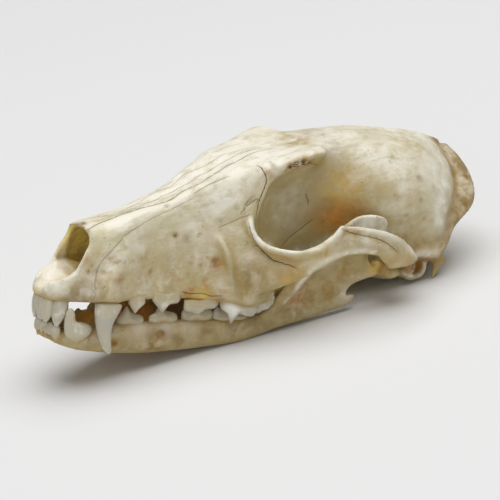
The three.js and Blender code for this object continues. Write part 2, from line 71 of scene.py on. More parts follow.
# Placing: the drawing's scale, the two places it rests on and where its origin lies in the frame
REAL_LENGTH = 149.0
DRAWN_LENGTH = 152.0
REST_FRONT = (65.0, -13.9)
REST_BACK = (128.0, 1.5)
REST_PITCH = math.atan2(REST_BACK[1] - REST_FRONT[1], REST_BACK[0] - REST_FRONT[0])
DRAWING_AT = (-0.07340986, 0.0, 0.02797367)
MM = 0.001
TO_FRAME = (
    Matrix.Translation(DRAWING_AT)
    @ Matrix.Rotation(REST_PITCH, 4, "Y")
    @ Matrix.Scale(MM * REAL_LENGTH / DRAWN_LENGTH, 4)
)

# The photograph's camera, in the drawing: aim, distance, direction, roll and focal length in pixels
PHOTO_SIDE = 500
CAMERA_AIM = (73.739, 0.0, 9.6394)
CAMERA_DISTANCE = 1000.0
CAMERA_AZIMUTH = -0.651034
CAMERA_ELEVATION = 0.230882
CAMERA_ROLL = 0.0983203
CAMERA_FOCUS = 3290.813

# Cross-sections of the cranium: x, height of the top, then dorsal shoulder, upper flank, lower flank, outer
# and inner gum edge as out and up, and the height of the floor
CRANIUM = [
    (-1.6, 4, (1.6, 3.8), (2.8, 3.2), (3.4, 2.2), (3.2, 1), (2, 0.4), 0.4),
    (0, 5.8, (2.8, 5.7), (4.9, 4.6), (5.8, 2.8), (5.7, 0.8), (4, 0), 0.2),
    (3, 7.8, (4.2, 7.8), (6.3, 6.4), (7.6, 3.8), (8, 1), (6, 0), 0.8),
    (6.4, 9.8, (5, 10.2), (6.9, 8.8), (8.3, 5), (9.1, 1.2), (7.4, 0), 1.2),
    (8.4, 15.4, (5.2, 14.6), (7.2, 11.2), (8.8, 6), (10.2, 1.2), (8.2, 0), 1.4),
    (10.4, 20.9, (5, 19.8), (7.4, 14.2), (9.5, 7), (11.6, 1.2), (8.8, 0), 1.5),
    (15, 22, (5.5, 20.9), (8.4, 15.4), (10.9, 8), (13.2, 1.4), (9.4, -0.2), 1.6),
    (20.5, 23, (5.9, 22), (8.9, 16.6), (11, 9.2), (12.4, 1.4), (9.4, -0.2), 1.7),
    (28, 24.9, (6.1, 24), (8.8, 17.4), (10, 9), (11.5, 1), (9.4, -0.2), 1.8),
    (36, 27.2, (6.5, 26.6), (9.2, 19.2), (11, 9.6), (12.9, 1), (10.6, -0.2), 1.9),
    (44, 30.1, (7.1, 29.9), (10.4, 21.8), (12.6, 11), (14.6, 0.9), (12.2, -0.3), 2),
    (51, 33.2, (8.4, 33.3), (12.2, 24.4), (15, 12.4), (17, 0.2), (14, -1.3), 2),
    (57, 36, (10.4, 35.8), (14.6, 27.2), (17.8, 14), (19.6, -0.4), (16.4, -2.2), 1.8),
    (61.6, 38.2, (12.6, 37.6), (16.4, 28.6), (19.4, 14.6), (20.6, -1), (17.6, -2.6), 1.6),
    (65.6, 39.4, (14.4, 38.2), (13.8, 29.4), (14.2, 16.4), (19.8, -0.2), (16.8, -2.6), 1.5),
    (71.5, 40.6, (15.4, 39.6), (12.4, 31.4), (11.8, 18.8), (17, 1), (14.4, -2.2), 1.4),
    (76.5, 41.4, (16, 41.4), (11.8, 33), (10.8, 20), (11.4, 5.2), (9.8, -0.6), 2.2),
    (80.5, 42.2, (17.2, 42.6), (11.5, 33.8), (10.2, 20.2), (9.8, 7), (8.6, 0.4), 8),
    (85.4, 43.2, (17.6, 43.6), (11.4, 35), (9.9, 20.6), (9.4, 7.6), (8.2, 0.6), 8.6),
    (89, 44.4, (11.8, 42.8), (11.4, 34.8), (10.6, 20.4), (9.8, 8.4), (7.6, 1.4), 8.4),
    (94, 45.4, (9.8, 43.6), (13.2, 34.4), (13, 20.2), (11.4, 9), (7.2, 5), 8),
    (100, 46, (10.4, 43.8), (17, 34), (17.6, 19.8), (14.6, 9), (7.6, 7.2), 7.4),
    (106.5, 46.2, (11.2, 43.8), (20.4, 33.2), (21.6, 19.4), (18.6, 9.2), (8.6, 6.8), 6.9),
    (114, 46, (11.8, 43.4), (22.2, 32), (23.4, 19.2), (20.8, 9.4), (9.4, 6.2), 6.5),
    (122, 45.4, (12, 42.6), (22.2, 31.2), (23.4, 19), (21.2, 9), (9.6, 5.6), 6.3),
    (129, 44.5, (11.4, 41.4), (20.8, 30.6), (22.8, 18.8), (20.8, 8.8), (9.8, 5.6), 6.4),
    (135.5, 43.2, (9.8, 39.6), (18.2, 29.8), (19.8, 18.8), (17.2, 9.6), (9.2, 6.4), 7.2),
    (140.5, 41.4, (8, 37.4), (14.8, 28.8), (15.8, 20), (12.6, 12.4), (7.4, 9.2), 9.6),
    (143.5, 39.4, (6.2, 35.6), (11.2, 28.6), (11.6, 21.4), (9, 15.4), (5.2, 12.6), 12.8),
]

# Bars grown on the left of the cranium. Each station: x, y, z, height, thickness and, in a bar that leans,
# its outward lean in degrees.
NUCHAL_CREST = [
    (128, -22, 9.6, 4, 3.4), (130.8, -21.6, 13.6, 4.6, 3.2), (135.2, -19.4, 20, 6, 2.8),
    (143.2, -15.4, 26.2, 8, 2.6), (145.6, -10.6, 31, 8.6, 2.6), (145, -5.4, 35.8, 8.2, 2.6),
    (143.8, 0, 38.8, 8.2, 3),
]
SAGITTAL_CREST = [
    (112, 0, 45.4, 1.6, 2), (124, 0, 44.8, 2.2, 2), (134, 0, 43.2, 2.6, 2.2), (143, 0, 39.8, 3.4, 2.8),
]
PAROCCIPITAL = [
    (132, -20.2, 9.6, 6.4, 4.4), (130.9, -20.5, 6.7, 3.4, 2.5), (130, -20.8, 4.4, 2, 1.6),
    (129.5, -21, 1.8, 1.3, 1.1),
]
MASTOID_RIDGE = [
    (119.4, -22.8, 10.6, 1, 1.4), (122.8, -22.6, 11.2, 1.9, 2.4), (127, -21.6, 11, 2.2, 2.8),
    (131.4, -19.8, 10.2, 1.6, 2.4),
]
# Rim of the ear's opening, which closes on itself
EAR_RIM = [
    (124.3, -18, 9.2, 4.6, 1.4), (121.4, -18.2, 7.7, 4.6, 1.4), (118.8, -18.2, 6, 4.6, 1.5),
    (118.4, -17.8, 4.6, 5, 1.6), (120.4, -17.4, 3.4, 5.4, 1.7), (123.1, -17.2, 2.7, 5.6, 1.8),
    (125.8, -17.2, 3.3, 5.6, 1.8), (127.3, -17.6, 5.3, 5, 1.6), (126.8, -18, 7.6, 4.6, 1.4),
    (124.3, -18, 9.2, 4.6, 1.4),
]
HAMULUS = [
    (85.5, -8, 3.4, 3.4, 2.2), (90, -7.6, 2, 2.4, 1.8), (93.5, -8, 0.4, 1.2, 1.2),
]
# Rounded lumps: middle and radii
POSTGLENOID = ((112.4, -26.6, 9.6), (1.9, 5.4, 3.4))
BULLA = ((116.5, -12.8, 7.4), (10.2, 7.2, 6.2))
CONDYLE_OF_NECK = ((140.2, -7.8, 13.0), (4.4, 4.2, 5.2))
EAR_BULB = ((123.4, -14.6, 5.6), (6.4, 4.4, 4.4))
TUBER = ((75.0, -13.2, 2.2), (3.6, 2.8, 4.4))

# Hollows of the cranium
CHOANA = [
    (72, 0, 4.8, 4.6, 7), (78, 0, 5.4, 6.4, 9), (88, 0, 4.4, 7.6, 9.8), (96, 0, 2.4, 6, 10),
]
FORAMEN_MAGNUM = ((144.5, 0, 16.4), (10, 6.4, 5.4))
EAR_CANAL = ((122.9, -20.4, 6.0), (3.4, 4.6, 2.3))
PALATINE_SLOT = ((11.4, -2.5, 0.8), (4.4, 1.25, 2.6))

# The cheek arch as its two bones, which overlap, and the raised rims round the eye
CHEEK_BONE = [
    (49.5, -9.8, 7.8, 12, 5, 0), (55.5, -14.4, 8, 15, 6, 3), (61, -18.6, 9.4, 16.4, 6, 8),
    (66.5, -23.2, 10.2, 12.2, 5.2, 13), (72, -27, 11.9, 8.2, 4.2, 14), (78, -29.8, 15, 7, 3.2, 8),
    (84, -31.6, 18.5, 7.4, 2.8, 4), (90, -33, 18.2, 5.8, 2.6, 0), (95, -33.7, 17.5, 5.2, 2.5, -4),
    (99.5, -34, 16.2, 4.2, 2.2, -6), (103.2, -34, 14.8, 1.8, 1.5, -6),
]
TEMPLE_BONE = [
    (82.8, -31.9, 23.9, 1.2, 1.3, 0), (87.3, -32.4, 22.9, 2.6, 2.1, 0), (91.6, -33, 21.7, 4, 2.4, -2),
    (96.4, -33.4, 19.6, 6.6, 2.5, -4), (100.4, -33.6, 17, 9, 2.4, -5), (104, -33.7, 14.9, 9.6, 2.2, -5),
    (107.8, -33.6, 13.7, 7, 2, -4), (110.6, -33.2, 12.9, 3.8, 1.7, -2), (112.4, -32.8, 12.6, 1.4, 1.2, 0),
]
TEMPLE_ROOT = [
    (102.4, -32.2, 12.6, 4.6, 2.6), (104.8, -30.4, 11.9, 5, 4.6), (107.4, -27, 11.9, 5.4, 7),
    (109.2, -22, 12.9, 6.2, 8.6), (110.2, -15, 15, 7, 10),
]
EYE_RIM = [
    (60.4, -16.6, 25.6, 1.2, 1.4), (59.4, -17.8, 23.4, 2, 2.2), (59.3, -19.2, 20.9, 2.2, 2.4),
    (60.5, -21.2, 18.3, 2.3, 2.4), (62.6, -23.5, 16.6, 2.4, 2.4), (65.6, -25.7, 15.9, 2.3, 2.4),
    (71.2, -28.4, 15.5, 2.3, 2.4), (76.9, -30.3, 16.9, 2.2, 2.3), (80.4, -31.3, 19.8, 2.2, 2.2),
    (82.2, -31.9, 22.7, 2, 2), (83, -32.1, 24.9, 0.9, 0.9),
]
BROW = [
    (61, -14.4, 21.5, 3.6, 3.6), (62, -14.8, 25.3, 4, 4), (63.6, -14.3, 29.6, 4.2, 4.2),
    (66.6, -13.5, 34.6, 4.2, 4.2), (71.8, -13.6, 37.8, 3.6, 4.2), (77.5, -14.6, 39.9, 3, 4),
    (82.6, -15.6, 41.4, 2.6, 3.6), (85, -16.2, 42.4, 2, 2.6),
]
CANINE_SWELLING = [
    (15.2, -10.5, 0.5, 10.4, 8), (15.5, -10.3, 2.4, 10, 7.8), (16.6, -9.6, 6, 8.8, 6.8),
    (19.8, -8.2, 11.4, 7.4, 5.4), (24.6, -6.8, 16.2, 5.4, 4.2),
]
INCISOR_SWELLINGS = [((3.2, -5.4, 2.0), (2.7, 2.4, 2.2)), ((1.2, -3.4, 2.0), (1.9, 1.9, 2.0)),
                     ((0.3, -1.3, 2.0), (1.6, 1.4, 1.9))]
CANAL_RIDGE = [
    (50.6, -13.8, 18.6, 1, 1.6), (52, -15.9, 15.6, 1.9, 2.4), (53.4, -17, 11.6, 2.5, 2.9),
    (53.9, -17.7, 7.8, 2.7, 3), (54.6, -18.1, 4.4, 2.5, 2.9), (55.4, -18.2, 1, 1.9, 2.4),
]
CANAL = [
    (47.8, -17.2, 10.4, 2.4, 0.3), (50.8, -16.5, 10.1, 4.4, 0.55), (53.4, -15.4, 9.8, 5, 1.3),
    (57, -14, 9.4, 4, 2),
]
NOSE_RIM = [
    (10.4, -2.6, 21, 0.8, 0.8), (10.8, -4.9, 19.7, 1, 1), (10.9, -6.1, 16.8, 1.1, 1.1),
    (9.5, -6.5, 14.3, 1.1, 1.1), (8.1, -6.7, 11.6, 1.1, 1.1), (7.1, -6.6, 9.5, 1.2, 1.2),
    (6.1, -6.5, 7.9, 1.3, 1.3), (4.3, -6.3, 6.6, 1.5, 1.5), (2, -5.4, 5.8, 1.6, 1.6),
    (-0.8, -3, 4.6, 1.5, 1.5),
]
EYE_HOLLOW = ((67.2, -19.6, 23.0), (7.2, 4.8, 9.5))
# Edge of the nose's opening seen from the side, as places along x and heights, and the wall left round it
NOSE_LIP = [
    (-9, 3.6), (-4, 4.2), (-1.7, 5.2), (2.3, 7.2), (6.6, 9.6), (11, 9.2), (18, 7.6), (44, 8.4),
]
NOSE_WALL = 1.0
NOSE_START, NOSE_FRONT, NOSE_END = -7.5, 10.9, 42.0
WALL_BACK, WALL_BACK_RATE = 20, 0.06  # behind this place the wall thickens, at this rate
WALL_FRONT, WALL_FRONT_RUN, WALL_FRONT_GAIN = 14, 4, 0.7  # and in front of this one, over a run, by so much
GUTTER_HALF, GUTTER_DEPTH = 6.5, 2.2  # hollow along the cavity's floor
NOSE_CLOSING = 6  # run over which the cavity closes at its end
NOSE_EDGE_REACH = 14  # half width of the cut along the edge
NOSE_EDGE = [
    (-12, 3.7), (-3.2, 3.9), (-1.7, 4.6), (0.8, 5.2), (3, 5.9), (5, 6.9), (6.6, 8.6), (7.4, 10.4), (8, 12),
    (9.2, 14.8), (11, 17.6), (10.9, 20), (10.2, 24), (-12, 24),
]
NOSE_GUTTER = [
    (-4.4, 0, 7, 4.2, 3.2), (-1, 0, 7.2, 6.2, 6), (3, 0, 8.8, 8.4, 8.6), (7, 0, 11.2, 11.4, 10.6),
    (12, 0, 12.4, 12.4, 11.6),
]

# Lower jaw, left half: x, y, half thickness, upper and lower edge of its body
JAW_BODY = [
    (1.2, -1.9, 1.6, -10.2, -11.4), (2.2, -2.5, 2.3, -9.6, -12.4), (5, -3.6, 3.4, -8.8, -13.8),
    (10, -4.9, 4.2, -8.2, -15.2), (16, -6, 4, -7.3, -16), (22, -7.5, 3.3, -7.3, -16.4),
    (30, -8.9, 2.9, -7.3, -16.7), (40, -10.3, 2.9, -7.2, -16.4), (50, -11.6, 2.9, -7, -15.8),
    (60, -13, 2.9, -7.2, -14.8), (67, -14.4, 2.7, -6, -13.2), (74, -16, 2.4, -4.4, -10.4),
    (81, -17.4, 2, -3.6, -8.6), (88, -18.7, 1.7, -3, -6.6), (94, -19.8, 1.7, -1.6, -4.8),
    (97.4, -20.4, 1.6, -0.2, -3.6), (99.2, -20.7, 1, -0.4, -2.5),
]
JAW_ROUNDNESS = 0.8  # 1 is an oval section, less is squarer
RAMUS_OUTLINE = [
    (70, -7.5), (73.5, -2.2), (77, 3.4), (82, 11), (87.5, 18.4), (91.5, 22.4), (95.6, 24.6), (100.4, 25),
    (104.8, 23.6), (105.6, 20.4), (103, 15.8), (101.8, 12), (103.6, 9.4), (106.6, 8.6), (105.6, 5.8),
    (101.6, 4.2), (97.6, 1.8), (96.2, -0.8), (96.6, -3.2), (88, -5), (72, -8),
]
# Steps through the plate behind the teeth: place across, in half thicknesses, and size
RAMUS_STEPS = ((-1, 0.0), (-1, 0.5), (-0.9, 0.93), (-0.45, 1), (0.45, 1), (0.9, 0.93), (1, 0.5), (1, 0.0))
RAMUS_EDGE = 8.0  # how far its edge would draw in at size 0
RAMUS_THICK = 2.0
RAMUS_AT = (76.0, -16.4, -8.0)
RAMUS_OUT = (0.16, 0.13)
RAMUS_RIDGE = [
    (68, -15.2, -8.6, 4, 3.4), (73.2, -17.3, -2.6, 3.6, 3.2), (77.6, -18.7, 4, 3.6, 3.4),
    (83, -20.6, 11.6, 3.4, 3.2), (89, -22.4, 19, 2.8, 2.8), (93, -23.6, 22.6, 2, 2.4),
]
JAW_CONDYLE = ((105.8, -25.6, 8.2), (2.4, 6.4, 2.4))
SYMPHYSIS_GAP = 0.3

# Bars as they are added: stations, rings along them, points round them and which way their height lies, if
# not upwards
FIRST_BARS = [
    (NUCHAL_CREST, 70, 20, (1, 0, 0)), (PAROCCIPITAL, 24, 16, (1, 0, 0)), (HAMULUS, 20, 12),
    (CANINE_SWELLING, 40, 24, (1, 0, 0)),
]
FIRST_LUMPS = [POSTGLENOID, BULLA, CONDYLE_OF_NECK, EAR_BULB, TUBER]
LATER_BARS = [
    (CHEEK_BONE, 110, 28), (TEMPLE_BONE, 110, 28), (TEMPLE_ROOT, 60, 28), (EYE_RIM, 90, 18), (BROW, 60, 24),
    (CANAL_RIDGE, 30, 18, (1, 0, 0)), (MASTOID_RIDGE, 30, 18), (EAR_RIM, 60, 16, (0, 1, 0)),
]
# Grain of the cranium's later meltings, over that of the first, and the grain of its hollows
LATER_GRAIN, LAST_GRAIN, HOLLOW_GRAIN = 0.9, 0.98, 0.4

# Root of a tooth of one point, from its end up: share of its depth, and size over the neck
ROOT_STEPS = ((1, 0.35), (0.6, 0.5), (0.25, 0.62), (0.1, 0.7))
TOOTH_WAVE, TOOTH_SWELL = 1.7, 0.05  # faint swells of the enamel
LOWER_GUM = 1.4  # how much higher the stain at the gum reaches on the lower teeth
BRIGHT_REACH, NO_PATCH = 2.6, (0, 0, 99)  # radius of a white patch, and where one is that no tooth reaches
# Teeth of the left side. at: the tooth's own origin in the drawing. turn about the upright, tip of the crown
# forwards and its lean outwards are in degrees. Heights run from the root to the crown, x from front to back.
# edges, for a tooth of one point: height, front edge, rear edge, half width. For a cheek tooth, crest: places
# along it and heights of its outer edge; inner: share of that height its inner edge has; neck: where enamel
# starts; spread: how far out its two edges lie, as a share of its half width; bright: middle of a white
# patch.
UPPER_TEETH = {
    "incisor_1": dict(at=(-0.2, -1.25, 0.5), root=3, turn=80, tip=7, edges=[(0.2, -1.2, 1.2, 1.1),
        (1.6, -1.35, 1.35, 1.2), (3.6, -1.35, 1.35, 1.15), (5.4, -1.2, 1.2, 0.95), (6.5, -0.8, 0.85, 0.65),
        (7, -0.35, 0.4, 0.3), (7.1, -0.02, 0.02, 0.02)]),
    "incisor_2": dict(at=(0.2, -3.2, 0.5), root=3, turn=56, tip=5, out=3, edges=[(0.2, -1.4, 1.5, 1.2),
        (1.8, -1.75, 1.75, 1.4), (3.4, -1.8, 1.8, 1.35), (5, -1.6, 1.55, 1.1), (6.3, -1.1, 1, 0.7),
        (7.1, -0.5, 0.5, 0.35), (7.3, -0.06, 0.06, 0.02)]),
    "incisor_3": dict(at=(2.9, -5.2, 0.6), root=3.2, turn=30, tip=4, out=5, edges=[(0, -1.9, 2, 1.6),
        (1.2, -2.25, 2.35, 1.85), (2.6, -2.35, 2.5, 1.95), (4.2, -2.3, 2.2, 1.8), (5.8, -1.95, 1.55, 1.5),
        (7.1, -1.35, 0.85, 1.05), (8, -0.75, 0.3, 0.55), (8.4, -0.3, -0.1, 0.12),
        (8.45, -0.22, -0.18, 0.02)]),
    "canine": dict(at=(14.8, -11.2, 0.4), root=4.6, turn=10, tip=5, out=8, edges=[(0.5, -3.3, 4.9, 2.7),
        (1.4, -3.4, 4.75, 2.85), (3.1, -3.35, 4.1, 2.75), (5.3, -3, 3.05, 2.4), (7.6, -2.4, 2.5, 2.05),
        (10.2, -1.55, 2.55, 1.7), (12.4, -0.5, 2.95, 1.35), (13.9, 0.55, 3.25, 1), (14.8, 1.5, 3.15, 0.6),
        (15.2, 2.2, 2.75, 0.25), (15.25, 2.45, 2.5, 0.02)]),
    "premolar_1": dict(at=(25.6, -10.9, 0.2), wide=2.9, root=2.2, turn=4, crest=[(-2.6, 1), (-1.9, 1.9),
        (-1, 3.1), (-0.4, 3.9), (0.1, 3.9), (0.8, 3), (1.8, 2.1), (2.9, 1.2)], neck=[(-2.6, 0.6), (0, 0.7),
        (2.9, 0.7)]),
    "premolar_2": dict(at=(35.2, -11.9, 0.1), wide=3.5, root=2.2, turn=8, crest=[(-4.3, 0.2), (-3.7, 1),
        (-2.9, 1.8), (-2.2, 2.6), (-1.5, 3.5), (-0.8, 4), (-0.2, 3.9), (0.3, 3.1), (0.9, 2.2), (1.9, 1.7),
        (3.2, 1.6), (4.2, 1.4), (4.7, 0.9), (4.9, 0.3)], neck=[(-4.3, -0.1), (-2.4, 0), (-0.4, 0.4),
        (2.2, 0), (4.9, 0)]),
    "premolar_3": dict(at=(46.8, -13.8, -0.9), wide=3.8, root=2.2, turn=10, crest=[(-5.4, 2.1), (-4.8, 2.9),
        (-3.6, 3.2), (-2.2, 3.5), (-0.8, 4.1), (0.3, 3.6), (1.4, 2.8), (2.8, 2.5), (4.4, 2.4), (5.4, 1.8),
        (5.9, 0.9)], neck=[(-5.4, 1.7), (-3, 1.5), (-0.6, 1.6), (1.9, 0.6), (5.9, 0.5)]),
    "premolar_4": dict(at=(58.6, -17, -1.6), wide=4.9, root=2.2, turn=13, spread=0.18,
        bright=(-3, 2.4, 1.6), crest=[(-6.1, 0.4), (-5.5, 1.7), (-4.4, 2.4), (-3.4, 3.2), (-2.9, 4.9),
        (-2.1, 6.1), (-1.3, 5.2), (-0.3, 3.7), (0.6, 3.3), (2, 3.6), (3.6, 4.1), (4.9, 3.9), (5.7, 3),
        (6.2, 1.4)], neck=[(-6.1, 0), (-3.6, -0.5), (-0.6, 0.4), (2.6, 0.5), (6.2, 1)]),
    "molar_1": dict(at=(67.8, -15.4, -1.9), wide=7.9, root=2, turn=-4, spread=0.86, inner=0.72,
        crest=[(-4.3, 1.2), (-3.6, 2.3), (-2.6, 2.6), (-1.6, 2), (-0.4, 1.9), (0.7, 1.5), (1.8, 0.7),
        (2.8, 0.6), (3.6, -0.4), (4, -1.2)], neck=[(-4.3, -0.3), (-1, -0.7), (4, -2)]),
    "molar_2": dict(at=(73.9, -12.4, -1.2), wide=5, root=1.8, turn=-4, spread=0.7, inner=0.8,
        crest=[(-1.8, 0.6), (-1, 1.6), (0, 1.4), (0.9, 1.2), (1.7, 0.3)], neck=[(-1.8, -0.2), (1.7, -0.4)]),
}
LOWER_TEETH = {
    "incisor_1": dict(at=(1.5, -1.1, -10.3), root=1.8, turn=80, tip=4, edges=[(0, -0.8, 0.8, 0.8),
        (0.9, -1, 1, 0.95), (2.1, -1.05, 1.05, 0.85), (2.9, -0.8, 0.8, 0.55), (3.25, -0.3, 0.3, 0.2),
        (3.3, -0.02, 0.02, 0.02)]),
    "incisor_2": dict(at=(1.7, -2.9, -10.4), root=1.8, turn=62, tip=4, out=2, edges=[(0, -0.9, 0.9, 0.85),
        (0.9, -1.15, 1.15, 1), (2.2, -1.2, 1.2, 0.9), (3.1, -0.95, 0.95, 0.6), (3.5, -0.4, 0.4, 0.25),
        (3.55, -0.02, 0.02, 0.02)]),
    "incisor_3": dict(at=(2.3, -4.7, -10.9), root=1.8, turn=40, tip=3, out=4, edges=[(0, -1.1, 1.1, 0.95),
        (1, -1.4, 1.4, 1.15), (2.3, -1.45, 1.45, 1.05), (3.2, -1.15, 1.15, 0.75), (3.7, -0.5, 0.5, 0.3),
        (3.75, -0.02, 0.02, 0.02)]),
    "canine": dict(at=(7.7, -7.6, -11.5), root=3, turn=14, tip=10, out=8, edges=[(-0.1, -1, 1.2, 1.1),
        (0.4, -1.9, 2.6, 1.6), (1.1, -2.6, 3.9, 1.9), (2, -3.2, 4.7, 2.1), (3, -3.5, 5, 2.15),
        (3.8, -3.5, 4.6, 2.1), (4.6, -3.5, 3.4, 1.95), (5.3, -3.45, 1.5, 1.75), (6, -3.4, 0.35, 1.55),
        (7, -3.2, 0, 1.4), (8.4, -2.85, 0.05, 1.25), (9.4, -2.5, -0.15, 1), (10, -2.1, -0.55, 0.65),
        (10.35, -1.55, -0.95, 0.25), (10.4, -1.27, -1.23, 0.02)]),
    "premolar_1": dict(at=(17.4, -6.7, -8), wide=2.2, root=2, turn=12, crest=[(-1.4, 0.5), (-0.6, 1.5),
        (0, 1.7), (0.7, 1.3), (1.4, 0.5)], neck=[(-1.4, 0.1), (1.4, 0.1)]),
    "premolar_2": dict(at=(24.6, -8.1, -8.3), wide=3, root=2.4, turn=11, crest=[(-3.5, 1.6), (-3.2, 2.3),
        (-2.4, 3.1), (-1.5, 4.2), (-0.8, 5.5), (-0.3, 5.9), (0.3, 5.4), (0.9, 4.4), (1.9, 3.8), (3.2, 3.4),
        (4.4, 3.1), (5.2, 2.5), (5.5, 1.7)], neck=[(-3.5, 1.3), (-1.9, 0.6), (0.1, 1.7), (2.7, 0.9),
        (5.5, 1.5)]),
    "premolar_3": dict(at=(35.6, -9.6, -8.5), wide=3.1, root=2.4, turn=8, crest=[(-3.8, 2.2), (-3.5, 3),
        (-2.7, 3.4), (-1.9, 3.8), (-1.3, 4.6), (-0.8, 5.7), (-0.1, 6.1), (0.5, 5.7), (1, 4.8), (1.8, 4.3),
        (3, 4), (4.4, 3.6), (5.4, 3), (5.8, 2.1)], neck=[(-3.8, 1.9), (-2.4, 1.1), (0.6, 2.4), (3.9, 1.1),
        (5.8, 1.8)]),
    "premolar_4": dict(at=(46.6, -11, -8.3), wide=3.4, root=2.4, turn=8, crest=[(-4, 2.9), (-3.8, 3.8),
        (-2.9, 4.6), (-1.6, 5.2), (-0.4, 5.9), (0.8, 5.5), (2.4, 4.8), (4.4, 4.6), (5.8, 4.1), (6.5, 3)],
        neck=[(-4, 2.6), (-2.2, 1.3), (0.6, 2.3), (3.4, 1.3), (6.5, 2.5)]),
    "molar_1": dict(at=(59, -12.7, -7.5), wide=4, root=2.6, turn=8, inner=0.86, crest=[(-6.4, 0.8),
        (-5.8, 2.6), (-4.6, 3.9), (-3.4, 3.4), (-2.2, 4.2), (-0.9, 6.1), (0.4, 4.8), (1.6, 3.2), (3.4, 2.7),
        (5.2, 2.2), (6.4, 0.6)], neck=[(-6.4, 0.2), (-3.4, -0.2), (0, 0.4), (3.4, -0.2), (6.4, 0.1)]),
    "molar_2": dict(at=(69.2, -13.9, -5.8), wide=3.4, root=1.8, turn=10, spread=0.5, crest=[(-2.6, 0.6),
        (-1.7, 1.6), (-0.6, 1.4), (0.8, 1.4), (1.9, 1.1), (2.6, 0.4)], neck=[(-2.6, 0), (2.6, 0)]),
    "molar_3": dict(at=(73.6, -14.8, -4.4), wide=2, root=1.4, turn=10, spread=0.4, crest=[(-1.1, 0.3),
        (-0.5, 0.9), (0.5, 0.9), (1.1, 0.3)], neck=[(-1.1, 0), (1.1, 0)]),
}

SIDES = {"left": 1, "right": -1}

# Moves of the sculptor, in drawing millimetres
RELAX_IN, RELAX_OUT = 0.5, 0.53  # evening out: the step in, and the longer one back that keeps the size
SWELLS = ((8, 0.17), (2.7, 0.05), (1.1, 0.02))  # waves of grown bone and their heights
TAPER, SEAM_FADE = 0.12, 0.08  # share of a line over which a stroke, or a seam's darkness, fades out
SEAM_WIDTH = 0.55
FAR_OFF = 9.0  # what a point without a seam near it says
LINE_MARGIN = 8.0  # how far round a line points are looked for

# How the sky and the closeness of other bone are felt, for the bone's painted light and shade
SKY_RAYS = 34
LIFT, REACH, CLOSE_BY = 0.25, 60.0, 9.0  # a ray's start off the skin, its length and what counts as close


class SkullSizes(bpy.types.PropertyGroup):
    """How finely the bones and teeth are made."""
    cranium_grain: FloatProperty(
        name="Cranium grain", description="Size of the faces of the cranium, in drawing millimetres",
        default=0.62, min=0.3, max=3.0)
    jaw_grain: FloatProperty(
        name="Jaw grain", description="Size of the faces of the lower jaw, in drawing millimetres",
        default=0.4, min=0.3, max=3.0)
    tooth_sides: IntProperty(
        name="Tooth sides", description="Faces round a tooth", default=36, min=8, max=96)


class SkullColours(bpy.types.PropertyGroup):
    """Colours of dry bone and enamel."""
    # The bone colour and the shaded one after it are the lit and shaded ends of painted light and shade,
    # mixed by how open each point lies to the sky
    bone: FloatVectorProperty(
        name="Bone", description="Bone bleached by light", subtype="COLOR", default=(0.90, 0.86, 0.74))
    bone_in_painted_shade: FloatVectorProperty(
        name="Shaded bone", description="Bone that light hasn't reached", subtype="COLOR",
        default=(0.47, 0.37, 0.145))
    bone_worn: FloatVectorProperty(
        name="Worn bone", description="Greyer, greasier bone", subtype="COLOR", default=(0.56, 0.47, 0.25))
    # Amber also paints shade where other bone closes a point in, besides the real stains
    amber: FloatVectorProperty(
        name="Amber", description="Oily stain in the hollows", subtype="COLOR", default=(0.46, 0.27, 0.05))
    seam: FloatVectorProperty(
        name="Seam", description="Dirt in sutures and cracks", subtype="COLOR", default=(0.09, 0.05, 0.02))
    enamel: FloatVectorProperty(
        name="Enamel", description="Crowns of the teeth", subtype="COLOR", default=(0.565, 0.52, 0.38))


def run(points, count):
    """A smooth open run of count points through the given ones."""
    p = np.asarray(points, float)
    p = np.vstack([2 * p[0] - p[1], p, 2 * p[-1] - p[-2]])
    t = np.linspace(0, len(points) - 1, count)
    i = np.minimum(t.astype(int), len(points) - 2)
    f = (t - i)[:, None]
    a, b, c, d = p[i], p[i + 1], p[i + 2], p[i + 3]
    return 0.5 * (2 * b + (c - a) * f + (2 * a - 5 * b + 4 * c - d) * f**2 + (3 * b - a - 3 * c + d) * f**3)


def closed_runs(rows, per_point):
    """Smooth closed outlines, one through each row of points, with per_point steps between two points."""
    p0, p1, p2, p3 = (np.roll(rows, shift, axis=1) for shift in (1, 0, -1, -2))
    d0, d1, d2 = (np.sqrt(np.linalg.norm(b - a, axis=2, keepdims=True)) + 1e-6
                  for a, b in ((p0, p1), (p1, p2), (p2, p3)))
    m1 = ((p1 - p0) / d0 - (p2 - p0) / (d0 + d1) + (p2 - p1) / d1) * d1
    m2 = ((p2 - p1) / d1 - (p3 - p1) / (d1 + d2) + (p3 - p2) / d2) * d1
    f = (np.arange(per_point) / per_point)[None, None, :, None]
    p1, p2, m1, m2 = (v[:, :, None, :] for v in (p1, p2, m1, m2))
    made = p1 + m1 * f + (3 * (p2 - p1) - 2 * m1 - m2) * f**2 + (2 * (p1 - p2) + m1 + m2) * f**3
    return made.reshape(len(rows), -1, 3)


def skin(bm, rings):
    """Adds a closed surface through rings (ring, point, place), its two ends filled."""
    rings = np.asarray(rings, float)
    rows, columns = rings.shape[:2]
    verts = bmesh.ops.create_grid(bm, x_segments=columns, y_segments=rows - 1, size=0.5)["verts"]
    for v in verts:
        v.co = rings[round((v.co.y + 0.5) * (rows - 1)), round((v.co.x + 0.5) * columns) % columns]
    bmesh.ops.remove_doubles(bm, verts=verts, dist=1e-5)
    bmesh.ops.holes_fill(bm, edges=[e for e in bm.edges if e.is_boundary], sides=0)


def both_sides(places):
    """Places on the near side and their mirror on the far side."""
    return [places, places * (1, -1, 1)]


def lumps(bm, shapes, sides=(1, -1)):
    """Adds rounded lumps, given as middle and radii."""
    for (x, y, z), radii in shapes:
        for side in sides:
            at = Matrix.Translation((x, side * y, z)) @ Matrix.Diagonal((*radii, 1))
            bmesh.ops.create_uvsphere(bm, u_segments=32, v_segments=20, radius=1, matrix=at)


